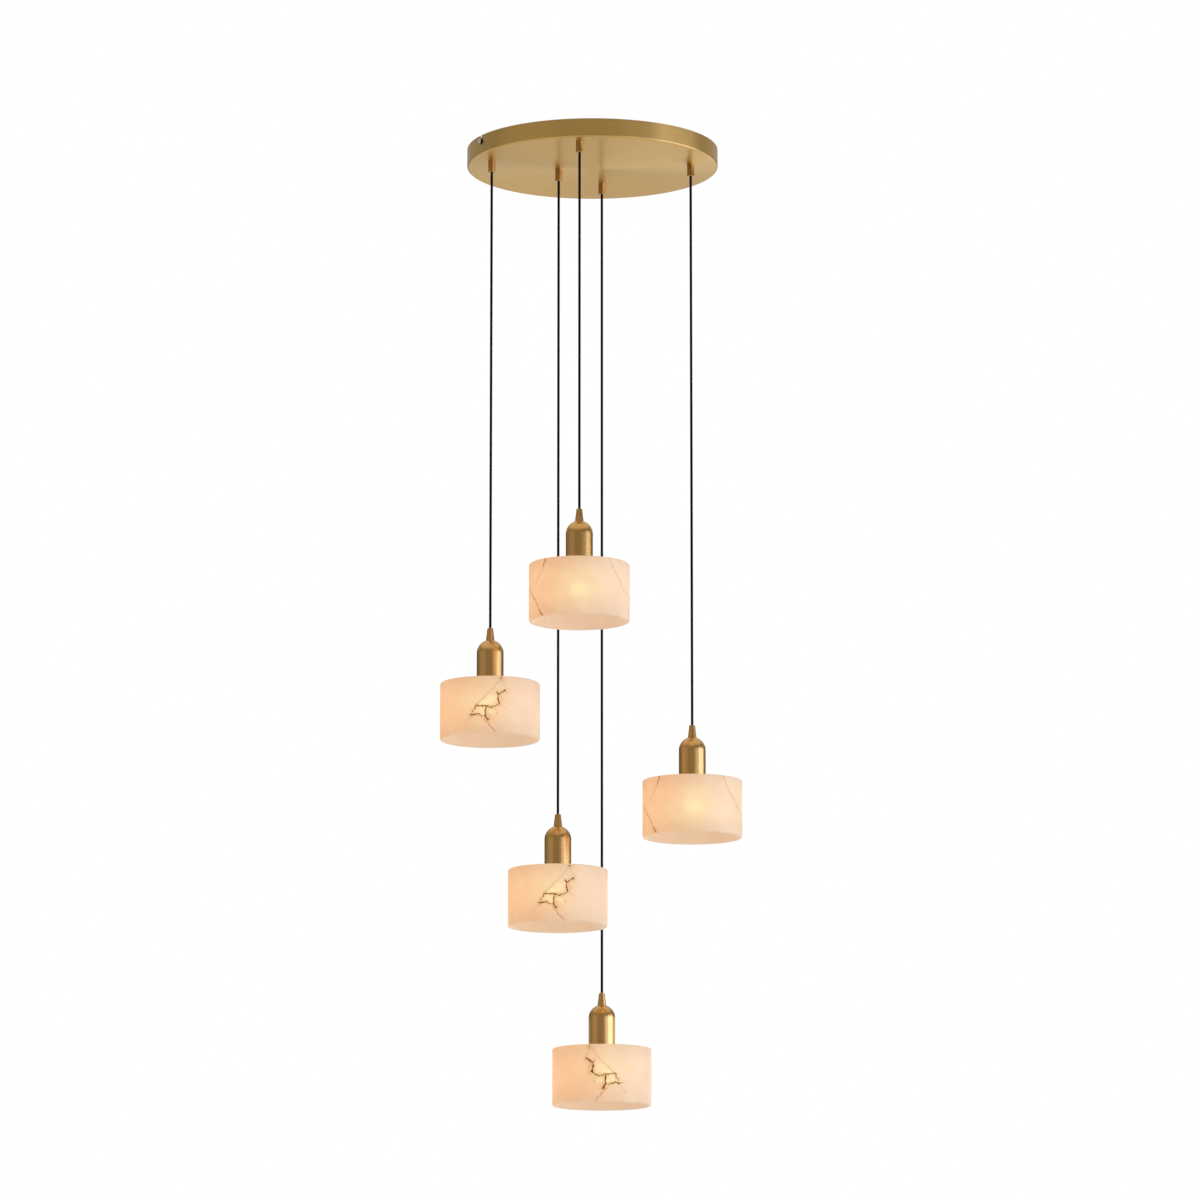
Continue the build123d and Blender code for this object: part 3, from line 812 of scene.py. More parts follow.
    def _spots(self, w: Wiring, jagged: Socket) -> dict[Glow, Socket]:
        """Draws every painted hot spot and stained place.

        Args:
            w: the material's wiring.
            jagged: the drum's map, shaken so that edges come out uneven.

        Returns:
            The mask of each kind.
        """
        spots: dict[Glow, Socket] = {}
        for kind, across, up, half_width, half_height, depth, soft in self.patches():
            shift = w.vector("SUBTRACT", jagged, metres(across, up))
            scaled = w.vector("DIVIDE", shift, (half_width / 1000, half_height / 1000, 1.0))
            near = w.ramp(w.vector("LENGTH", scaled), 1 + soft, 1 - soft)
            spot = w.times(near, depth)
            spots[kind] = w.larger(spots[kind], spot) if kind in spots else spot
        return spots

    def _far_seams(self, w: Wiring, cut: Socket, turn: Socket) -> Socket:
        """Faint broken seams on the side turned away.

        Args:
            w: the material's wiring.
            cut: the place in this shade's own block of stone.
            turn: the angle round the drum from its front.
        """
        back = w.ramp(w.math("COSINE", turn), 0.25, -0.2)
        drift = w.noise(cut, 13.0, 4.0, 0.5)
        level = w.math("ABSOLUTE", w.minus(drift, 0.5))
        broken = w.ramp(w.noise(cut, 21.0, 2.0, 0.5), 0.40, 0.58)
        return w.times(w.ramp(level, 0.009, 0.001), w.times(broken, back))

    def _clean_light(
        self, w: Wiring, flat: Socket, turn: Socket, cloud: Socket, spots: dict[Glow, Socket], outer: Socket
    ) -> Socket:
        """The lamp's light through the stone between its veins, brightest level with the bulb; its right-hand
        side is painted paler, as painted light from the right.

        Args:
            w: the material's wiring.
            flat: the drum's map.
            turn: the angle round the drum from its front.
            cloud: the stone's clouding.
            spots: the masks of the painted hot spots and the stained places.
            outer: 1 on the drum's outside and 0 within.
        """
        rise = w.node("SeparateXYZ", {0: flat}).outputs[1]
        away = w.math("ABSOLUTE", w.minus(rise, self.bulb_height))
        level = w.ramp(away, self.height * 0.56, self.height * 0.12)
        # Painted light: round the front, the glow goes from warm on the left to pale on the right, as if lit
        # from the right.
        wall = w.mix(w.ramp(w.math("SINE", turn), -0.9, 0.9), self.warm_glow, self.right_side_painted_light)
        ends = w.mix(1.0, wall, (self.end_share, self.end_share, self.end_share), "MULTIPLY")
        glow = w.mix(level, ends, wall)
        glow = w.mix(w.times(w.ramp(cloud, 0.4, 0.7), 0.1), glow, self.heart_glow)
        mottle = w.plus(w.ramp(w.noise(flat, 330.0, 4.0, 0.7), 0.36, 0.55), 1.4)
        # Painted light: the bulb's hot spot brightens the glow on the drum's front.
        clear = w.times(w.times(spots[Glow.PAINTED_HOT_SPOT], mottle), 0.42)
        glow = w.mix(clear, glow, self.heart_glow)
        if Glow.STAIN in spots:
            glow = w.mix(w.times(spots[Glow.STAIN], outer), glow, self.stain_glow)
        return glow


def finished_mesh(name: str, bm: Shape, material: Material, smooth_deg: float = 40.0) -> Object:
    """Turns a bmesh into a placed object.

    Args:
        name: the new object's name.
        bm: the mesh, in the part's frame; it is freed.
        material: its material.
        smooth_deg: edges sharper than this stay sharp.

    Returns:
        The new object, at the origin.
    """
    bmesh.ops.remove_doubles(bm, verts=bm.verts, dist=1e-7)
    bmesh.ops.recalc_face_normals(bm, faces=bm.faces)
    limit = math.radians(smooth_deg)
    for face in bm.faces:
        face.smooth = True
    for edge in bm.edges:
        edge.smooth = len(edge.link_faces) == 2 and edge.calc_face_angle(0.0) < limit
    mesh = bpy.data.meshes.new(name)
    bm.to_mesh(mesh)
    bm.free()
    mesh.materials.append(material)
    made = bpy.data.objects.new(name, mesh)
    bpy.context.scene.collection.objects.link(made)
    return made


def spun(bm: Shape, outline: Iterable[Spot], steps: int, closed: bool = True) -> None:
    """Spins an outline of (radius, height) points about Z into a full turn.

    Args:
        bm: the mesh that gets it.
        outline: the points, in metres.
        steps: how many steps the turn has.
        closed: whether the last point joins the first.
    """
    verts = [bm.verts.new((r, 0.0, z)) for r, z in outline]
    pairs = list(zip(verts, verts[1:])) + ([(verts[-1], verts[0])] if closed else [])
    edges = [bm.edges.new(pair) for pair in pairs]
    spin = {"cent": ORIGIN, "axis": UP, "angle": math.tau, "steps": steps, "use_merge": True}
    bmesh.ops.spin(bm, geom=verts + edges, **spin)


def turned_piece(
    name: str,
    outline: Iterable[Spot],
    place: Sequence[float],
    material: Material,
    smooth_deg: float = 60.0,
    steps: int = 64,
    closed: bool = False,
) -> Object:
    """Turns an outline of (radius, height) points into a finished piece.

    Args:
        name: the new object's name.
        outline: the points, in metres from the place.
        place: the point on the axis that the heights are from.
        material: its material.
        smooth_deg: edges sharper than this stay sharp.
        steps: how many steps the turn has.
        closed: whether the outline's last point joins the first.
    """
    bm = bmesh.new()
    spun(bm, outline, steps, closed)
    bmesh.ops.translate(bm, verts=bm.verts, vec=place)
    return finished_mesh(name, bm, material, smooth_deg)


def arc(centre: Spot, radius: float, start_deg: float, stop_deg: float, steps: int) -> list[Spot]:
    """Points on an arc in the (radius, height) plane.

    Args:
        centre: the arc's centre.
        radius: its radius.
        start_deg: its first angle, from the outward direction.
        stop_deg: its last angle.
        steps: how many runs it has.
    """
    angles = [math.radians(start_deg + (stop_deg - start_deg) * n / steps) for n in range(steps + 1)]
    return [(centre[0] + radius * math.cos(a), centre[1] + radius * math.sin(a)) for a in angles]


def dress(node: str, material: Material) -> None:
    """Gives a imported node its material.

    Args:
        node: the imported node's name.
        material: what all its material slots get.
    """
    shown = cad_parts[node]
    slots = shown.data.materials
    if not slots:
        slots.append(material)
    for index in range(len(slots)):
        slots[index] = material


@dataclass
class Route:
    """A cord's line: a smooth spline through given points."""

    name: str
    points: list[Point]

    def curve(self, radius: float = 0.0) -> Object:
        """Makes the line a NURBS curve.

        Args:
            radius: the cord's radius, or 0 for a bare line.

        Returns:
            The curve object.
        """
        data = bpy.data.curves.new(self.name, "CURVE")
        data.dimensions = "3D"
        spline = data.splines.new("NURBS")
        spline.points.add(len(self.points) - 1)
        for point, place in zip(spline.points, self.points):
            point.co = (*place, 1.0)
        spline.order_u = 3
        spline.use_endpoint_u = True
        spline.resolution_u = 12
        data.bevel_depth = radius
        data.bevel_resolution = 4
        data.use_fill_caps = radius > 0
        made = bpy.data.objects.new(self.name, data)
        bpy.context.scene.collection.objects.link(made)
        return made

    def line(self) -> list[Vector]:
        """The spline's own points, in order."""
        made = self.curve()
        mesh = bpy.data.meshes.new_from_object(made)
        line = [v.co.copy() for v in mesh.vertices]
        bpy.data.meshes.remove(mesh)
        bpy.data.curves.remove(made.data)
        return line


@dataclass
class HangingCord:
    """A pendant's free cord, straight under its weight, from the canopy grip into the cord grip."""

    number: int
    lift: float
    sides: int = 20
    ease: float = 6.0
    end_gap: float = 0.00005
    neck_radius: float = 0.00184
    neck: float = 0.0022
    neck_end: float = 0.0029

    def build(self, material: Material) -> Object:
        """Its top is a little narrower, so it swings in its grip's mouth without touching the edge.

        Args:
            material: the braided sleeve.

        Returns:
            The cord.
        """
        low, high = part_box(f"cord_{self.number}")
        radius = (high.x - low.x) / 2
        middle = (low + high) / 2
        easing = self.ease * 2 * radius
        foot = low.z + self.end_gap
        heights = [high.z, high.z - easing, foot + easing, foot]
        route = Route(f"cord_line_{self.number}", [(middle.x, middle.y, z) for z in heights])
        line = route.line()
        bm = bmesh.new()
        bmesh.ops.create_circle(bm, segments=self.sides, radius=self.neck_radius, cap_ends=False)
        bmesh.ops.translate(bm, verts=bm.verts, vec=line[0])
        ring = list(bm.edges)
        bmesh.ops.edgeloop_fill(bm, edges=ring)
        top = Vector(line[0])
        down = Vector((0, 0, -1))
        rings = [(top, self.neck_radius), (top + down * self.neck, self.neck_radius)]
        rings += [(top + down * self.neck_end, radius)]
        rings += [(p, radius) for p in line[1:] if top.z - p.z > self.neck_end + radius]
        for (here, before), (there, after) in zip(rings, rings[1:]):
            made = bmesh.ops.extrude_edge_only(bm, edges=ring)["geom"]
            ring = [g for g in made if isinstance(g, bmesh.types.BMEdge)]
            verts = [g for g in made if isinstance(g, bmesh.types.BMVert)]
            bmesh.ops.translate(bm, verts=verts, vec=there - here)
            grow = after / before
            bmesh.ops.scale(bm, vec=(grow, grow, 1), verts=verts, space=Matrix.Translation(-there))
        bmesh.ops.edgeloop_fill(bm, edges=ring)
        self._map(bm, middle)
        cord = finished_mesh(f"hanging_cord_{self.number}", bm, material)
        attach(cord, f"cord_{self.number}")
        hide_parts(f"cord_{self.number}")
        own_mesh(cord)
        return cord

    def _map(self, bm: Shape, middle: Vector) -> None:
        """Maps the cord: once round it is 1 across, and a metre along it is 1 up.

        Args:
            bm: the cord's mesh.
            middle: a point on its axis.
        """
        layer = bm.loops.layers.uv.new("cord_map")
        for face in bm.faces:
            arms = [loop.vert.co - middle for loop in face.loops]
            turns = [math.atan2(arm.y, arm.x) / math.tau for arm in arms]
            first = turns[0]
            for loop, turn in zip(face.loops, turns):
                nearest = turn - round(turn - first)
                loop[layer].uv = (nearest, loop.vert.co.z)


@dataclass
class StoneShade:
    """A turned alabaster drum, open at the bottom."""

    number: int
    vein: Vein
    mirrored: bool = False
    wall: float = 0.006
    top: float = 0.007
    edge: float = 0.0025
    inner_edge: float = 0.001
    hole: float = 0.0183
    steps: int = 192

    def build(self, effects: Effects, front_deg: float, bulb_middle: Vector) -> Object:
        """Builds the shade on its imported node.

        Args:
            effects: the shared groups.
            front_deg: where the shade's front is, turned from -Y.
            bulb_middle: the middle of the bulb's globe.

        Returns:
            The shade.
        """
        node = f"shade_{self.number}"
        low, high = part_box(node)
        middle = (low + high) / 2
        radius = (high.x - low.x) / 2
        height = high.z - low.z
        finish = LitAlabaster(
            name=f"alabaster_{self.number}",
            centre=tuple(middle),
            block=self.number,
            front_deg=front_deg,
            radius=radius,
            wall=self.wall,
            height=height,
            vein=self.vein,
            mirrored=self.mirrored,
            bulb_height=bulb_middle.z - middle.z,
        )
        name = f"stone_shade_{self.number}"
        outline = self._outline(radius, height)
        top = (middle.x, middle.y, high.z)
        shade = turned_piece(name, outline, top, finish.build(effects), 40.0, self.steps, closed=True)
        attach(shade, f"pendant_{self.number}")
        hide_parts(node)
        return shade

    def _outline(self, radius: float, height: float) -> list[Spot]:
        """The shade's section, with its top face at height 0.

        Args:
            radius: its outer radius.
            height: its height.
        """
        e = self.edge
        i = self.inner_edge
        inner = radius - self.wall
        points = [(self.hole, 0.0)]
        points += arc((radius - e, -e), e, 90, 0, 6)
        rows = 12
        step = (height - 2 * e) / rows
        points += [(radius, -e - step * n) for n in range(1, rows)]
        points += arc((radius - e, -height + e), e, 0, -90, 6)
        points += [(inner + i, -height), (inner, -height + i)]
        points += [(inner, -self.top - i), (inner - i, -self.top), (self.hole, -self.top)]
        return points


@dataclass
class GlobeBulb:
    """A golf-ball bulb: an opal globe with a threaded metal cap."""

    number: int
    cap_radius: float = 0.0132
    thread_depth: float = 0.0008
    thread_pitch: float = 0.00362
    cap_length: float = 0.022
    tip_length: float = 0.0045
    tip_radius: float = 0.0048
    neck_radius: float = 0.0124
    globe_radius: float = 0.0225
    join_deg: float = 36.0
    join_hollow: float = 0.0006
    glass_in_cap: float = 0.001
    cap_rim: float = 0.0025
    thread_wave_steps: int = 8
    shoulder_share: float = 0.62
    shoulder_under: float = 0.0002
    shoulder_bend: float = 0.0012
    bead_low_share: float = 0.42
    bead_high_share: float = 0.45
    bead_top: float = 0.0006
    contact_share: float = 0.8
    contact_thickness: float = 0.0008
    contact_bevel: float = 0.0004
    tip_gap: float = 0.00005
    steps: int = 64

    def build(self, effects: Effects, metal: Material, insulator: Material) -> Vector:
        """Builds the bulb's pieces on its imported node.

        Args:
            effects: the shared groups.
            metal: the cap's material.
            insulator: the glass bead round the cap's tip.

        Returns:
            The middle of the globe.
        """
        node = f"bulb_{self.number}"
        low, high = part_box(node)
        axis = (low + high) / 2
        centre = Vector((axis.x, axis.y, low.z + self.globe_radius))
        globe = self._globe(effects, centre, high.z)
        cap = self._cap(axis, high.z, metal)
        bead = self._bead(axis, high.z, insulator)
        tip = self._tip(axis, high.z, metal)
        for piece in (globe, cap, bead, tip):
            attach(piece, f"bulb_{self.number}")
            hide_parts(node)
        return centre

    def _globe(self, effects: Effects, centre: Vector, top: float) -> Object:
        """The opal envelope, from its pole up to the cap.

        Args:
            effects: the shared groups.
            centre: the globe's middle.
            top: the height of the cap's tip.
        """
        cap_bottom = top - self.tip_length - self.cap_length - centre.z
        neck = cap_bottom - (self.cap_radius - self.neck_radius)
        angle = 90 - self.join_deg
        round_part = arc((0.0, 0.0), self.globe_radius, -89.5, angle, 32)
        flare = [(self.neck_radius, neck), (self.neck_radius, cap_bottom + self.glass_in_cap)]
        join = round_part[-1]
        middle = ((join[0] + self.neck_radius) / 2 - self.join_hollow, (join[1] + neck) / 2)
        outline = [(0.0, -self.globe_radius), *round_part, middle, *flare, (0.0, flare[-1][1])]
        glass = OpalLamp(f"opal_glass_{self.number}", tuple(centre)).build(effects)
        return turned_piece(f"bulb_globe_{self.number}", outline, centre, glass)

    def _cap(self, axis: Vector, top: float, metal: Material) -> Object:
        """The rolled screw cap: one pitch of the thread's wave, spun along a helix and cut square.

        Args:
            axis: a point on the bulb's axis.
            top: the height of the cap's tip.
            metal: the cap's material.
        """
        upper = top - self.tip_length
        lower = upper - self.cap_length
        rim = self.cap_rim
        root = self.cap_radius - self.thread_depth
        wave = self.thread_wave_steps
        turns = int((self.cap_length - rim) / self.thread_pitch) + 3
        bm = bmesh.new()
        points = []
        for n in range(wave + 1):
            swell = (1 - math.cos(math.tau * n / wave)) / 2
            points.append((root + self.thread_depth * swell, 0.0, self.thread_pitch * n / wave))
        verts = [bm.verts.new(p) for p in points]
        edges = [bm.edges.new(pair) for pair in zip(verts, verts[1:])]
        step_rise = self.thread_pitch / self.steps
        helix = {"cent": ORIGIN, "axis": UP, "dvec": (0, 0, step_rise), "use_merge": False}
        bmesh.ops.spin(bm, geom=verts + edges, angle=math.tau * turns, steps=self.steps * turns, **helix)
        bmesh.ops.remove_doubles(bm, verts=bm.verts, dist=1e-6)
        bottom = lower + rim - 2 * self.thread_pitch
        bmesh.ops.translate(bm, verts=bm.verts, vec=(axis.x, axis.y, bottom))
        for height, normal in ((upper, (0, 0, 1)), (lower + rim, (0, 0, -1))):
            geom = list(bm.verts) + list(bm.edges) + list(bm.faces)
            plane = (axis.x, axis.y, height)
            bmesh.ops.bisect_plane(bm, geom=geom, plane_co=plane, plane_no=normal, clear_outer=True)
        bmesh.ops.holes_fill(bm, edges=[e for e in bm.edges if e.is_boundary], sides=0)
        collar = bmesh.new()
        skirt = [(0.0, 0.0), (self.cap_radius, 0.0), (self.cap_radius, rim * 0.7), (root, rim), (0.0, rim)]
        spun(collar, skirt, self.steps, closed=False)
        bmesh.ops.translate(collar, verts=collar.verts, vec=(axis.x, axis.y, lower))
        shoulder = bmesh.new()
        under = -self.shoulder_under
        share = self.shoulder_share
        slope = [(0.0, under), (root, under), (root, 0.0), (root * 0.93, self.shoulder_bend)]
        slope += [(root * share, self.tip_length * share), (0.0, self.tip_length * share)]
        spun(shoulder, slope, self.steps, closed=False)
        bmesh.ops.translate(shoulder, verts=shoulder.verts, vec=(axis.x, axis.y, upper))
        for part in (collar, shoulder):
            scratch = bpy.data.meshes.new("part")
            part.to_mesh(scratch)
            part.free()
            bm.from_mesh(scratch)
            bpy.data.meshes.remove(scratch)
        return finished_mesh(f"bulb_cap_{self.number}", bm, metal, 50)

    def _bead(self, axis: Vector, top: float, insulator: Material) -> Object:
        """The insulating bead between the cap and its tip.

        Args:
            axis: a point on the bulb's axis.
            top: the height of the cap's tip.
            insulator: the bead's material.
        """
        root = self.cap_radius - self.thread_depth
        low = -self.tip_length * self.bead_low_share
        high = self.bead_high_share
        outline = [(0.0, low), (root * self.shoulder_share, low), (root * high, low * high)]
        outline += [(self.tip_radius * self.contact_share, -self.bead_top), (0.0, -self.bead_top)]
        return turned_piece(f"bulb_bead_{self.number}", outline, (axis.x, axis.y, top), insulator)

    def _tip(self, axis: Vector, top: float, metal: Material) -> Object:
        """The centre contact on the cap's tip.

        Args:
            axis: a point on the bulb's axis.
            top: the height of the cap's tip.
            metal: the contact's material.
        """
        r = self.tip_radius * self.contact_share
        low = -self.contact_thickness
        outline = [(0.0, low), (r, low), (r, -self.contact_bevel)]
        outline += [(r * self.contact_share, 0.0), (0.0, 0.0)]
        place = (axis.x, axis.y, top - self.tip_gap)
        return turned_piece(f"bulb_tip_{self.number}", outline, place, metal)


@dataclass
class Pendant:
    """One pendant: its cord, brass cup and grip, stone shade, lampholder and bulb."""

    number: int
    vein: Vein
    lift: float
    mirrored: bool = False

    def build(self, effects: Effects, shared: dict[str, Material], front_deg: float) -> None:
        """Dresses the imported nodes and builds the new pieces.

        Args:
            effects: the shared groups.
            shared: the finishes that do not depend on the pendant's place.
            front_deg: where the shade's front is, turned from -Y.
        """
        n = self.number
        axis = node_middle(f"socket_cup_{n}")
        brass = TurnedBrass(f"cup_brass_{n}", tuple(axis)).build(effects)
        dress(f"socket_cup_{n}", brass)
        dress(f"cord_grip_{n}", brass)
        dress(f"cord_collet_{n}", shared["nylon"])
        dress(f"nipple_{n}", shared["steel"])
        dress(f"lampholder_{n}", shared["ceramic"])
        dress(f"thread_shell_{n}", shared["shell_brass"])
        dress(f"shade_ring_{n}", shared["ring_plastic"])
        bulb_middle = GlobeBulb(n).build(effects, shared["cap_metal"], shared["bead"])
        StoneShade(n, self.vein, self.mirrored).build(effects, front_deg, bulb_middle)
        HangingCord(n, self.lift).build(shared["sleeve"])
        log.info("pendant %d: %s stone, cord and bulb built", n, self.vein.value)


@dataclass
class CeilingCanopy:
    """The canopy with its bracket, grips, terminals and the cords' tails."""

    tail_radius: float = 0.002
    tails: dict[int, list[Point]] = field(default_factory=dict)

    def build(self, effects: Effects, shared: dict[str, Material]) -> None:
        """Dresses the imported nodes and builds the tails.

        Args:
            effects: the shared groups.
            shared: the finishes that do not depend on a pendant's place.
        """
        middle = node_middle("canopy")
        plate = TurnedBrass(
            "canopy_brass",
            tuple(middle),
            colour=(0.53, 0.318, 0.088),
            edge=(1.0, 0.92, 0.70),
            roughness=0.34,
            lines_per_metre=1800.0,
            coat=0.3,
            brushing=0.9,
        )
        dress("canopy", plate.build(effects))
        dress("canopy_grips", shared["grip_brass"])
        dress("grip_nuts", shared["shell_brass"])
        dress("set_screws", shared["screw_steel"])
        dress("side_screws", shared["side_screw"])
        dress("ceiling_bracket", shared["steel"])
        dress("terminal_block", shared["terminal_plastic"])
        dress("earth_stud", shared["shell_brass"])
        for number, points in self.tails.items():
            tail = Route(f"cord_tail_{number}", points).curve(self.tail_radius)
            tail.data.materials.append(shared["sleeve"])
            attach(tail, "canopy")
            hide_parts("cord_tails")
        log.info("canopy dressed, %d cord tails laid", len(self.tails))


@dataclass(frozen=True)
class PhotographView:
    """The camera of the photograph: a long lens, low in front, looking up at the canopy."""

    position: Point = (-4.3573, -8.2206, -2.4334)
    heading_deg: float = 28.0
    pitch_rad: float = 0.181
    lens_mm: float = 180.0
    sensor_mm: float = 36.0

    def build(self) -> Object:
        """Makes the camera and sets it as the scene's."""
        data = bpy.data.cameras.new("photograph")
        data.lens = self.lens_mm
        data.sensor_width = self.sensor_mm
        data.clip_end = 100.0
        made = bpy.data.objects.new("photograph", data)
        bpy.context.scene.collection.objects.link(made)
        heading = math.radians(self.heading_deg)
        level = math.cos(self.pitch_rad)
        look = Vector((math.sin(heading) * level, math.cos(heading) * level, math.sin(self.pitch_rad)))
        made.location = self.position
        made.rotation_mode = "QUATERNION"
        made.rotation_quaternion = look.to_track_quat("-Z", "Y")
        bpy.context.scene.camera = made
        return made


@dataclass(frozen=True)
class SoftLamp:
    """A large soft lamp, placed round the object from the camera's heading."""

    name: str
    turn_deg: float
    distance: float
    height: float
    width: float
    tall: float
    power: float
    colour: Colour = WHITE

    def build(self, heading_deg: float, target: Vector) -> Object:
        """Makes the lamp, aimed at the target.

        Args:
            heading_deg: the camera's heading from +Y.
            target: what the lamp looks at.
        """
        data = bpy.data.lights.new(self.name, "AREA")
        data.shape = "RECTANGLE"
        data.size = self.width
        data.size_y = self.tall
        data.energy = self.power
        data.color = self.colour
        made = bpy.data.objects.new(self.name, data)
        bpy.context.scene.collection.objects.link(made)
        angle = math.radians(heading_deg)
        towards = Vector((-math.sin(angle), -math.cos(angle), 0.0))
        towards.rotate(Matrix.Rotation(math.radians(self.turn_deg), 3, "Z"))
        made.location = target + towards * self.distance + Vector((0, 0, self.height))
        made.rotation_mode = "QUATERNION"
        made.rotation_quaternion = (target - made.location).to_track_quat("-Z", "Y")
        made.visible_glossy = False
        return made


@dataclass(frozen=True)
class ReflectedBand:
    """An upright band on the wall that metal reflects, placed round from the camera, right positive."""

    turn_deg: float
    half_width_deg: float
    softness_deg: float
    low: float
    high: float
    level: float
    fade: float = 0.3
    colour: Colour = WHITE

    def add(self, w: Wiring, turn: Socket, height: Socket, light: object) -> Socket:
        """Adds its light to the wall's.

        Args:
            w: the wall material's wiring.
            turn: the angle round the wall from the camera's side, in radians.
            height: the height on the wall, in metres.
            light: the wall's light so far, as RGB.
        """
        away = w.minus(turn, math.radians(self.turn_deg))
        away = w.math("ABSOLUTE", w.math("WRAP", away, math.pi, -math.pi))
        outer = math.radians(self.half_width_deg + self.softness_deg)
        inner = math.radians(self.half_width_deg - self.softness_deg)
        across = w.ramp(away, outer, inner)
        above = w.ramp(height, self.low - self.fade, self.low + self.fade)
        below = w.ramp(height, self.high + self.fade, self.high - self.fade)
        both = w.times(w.times(above, below), across)
        share = tuple(self.level * c for c in self.colour)
        return w.vector("MULTIPLY_ADD", both, share, light)


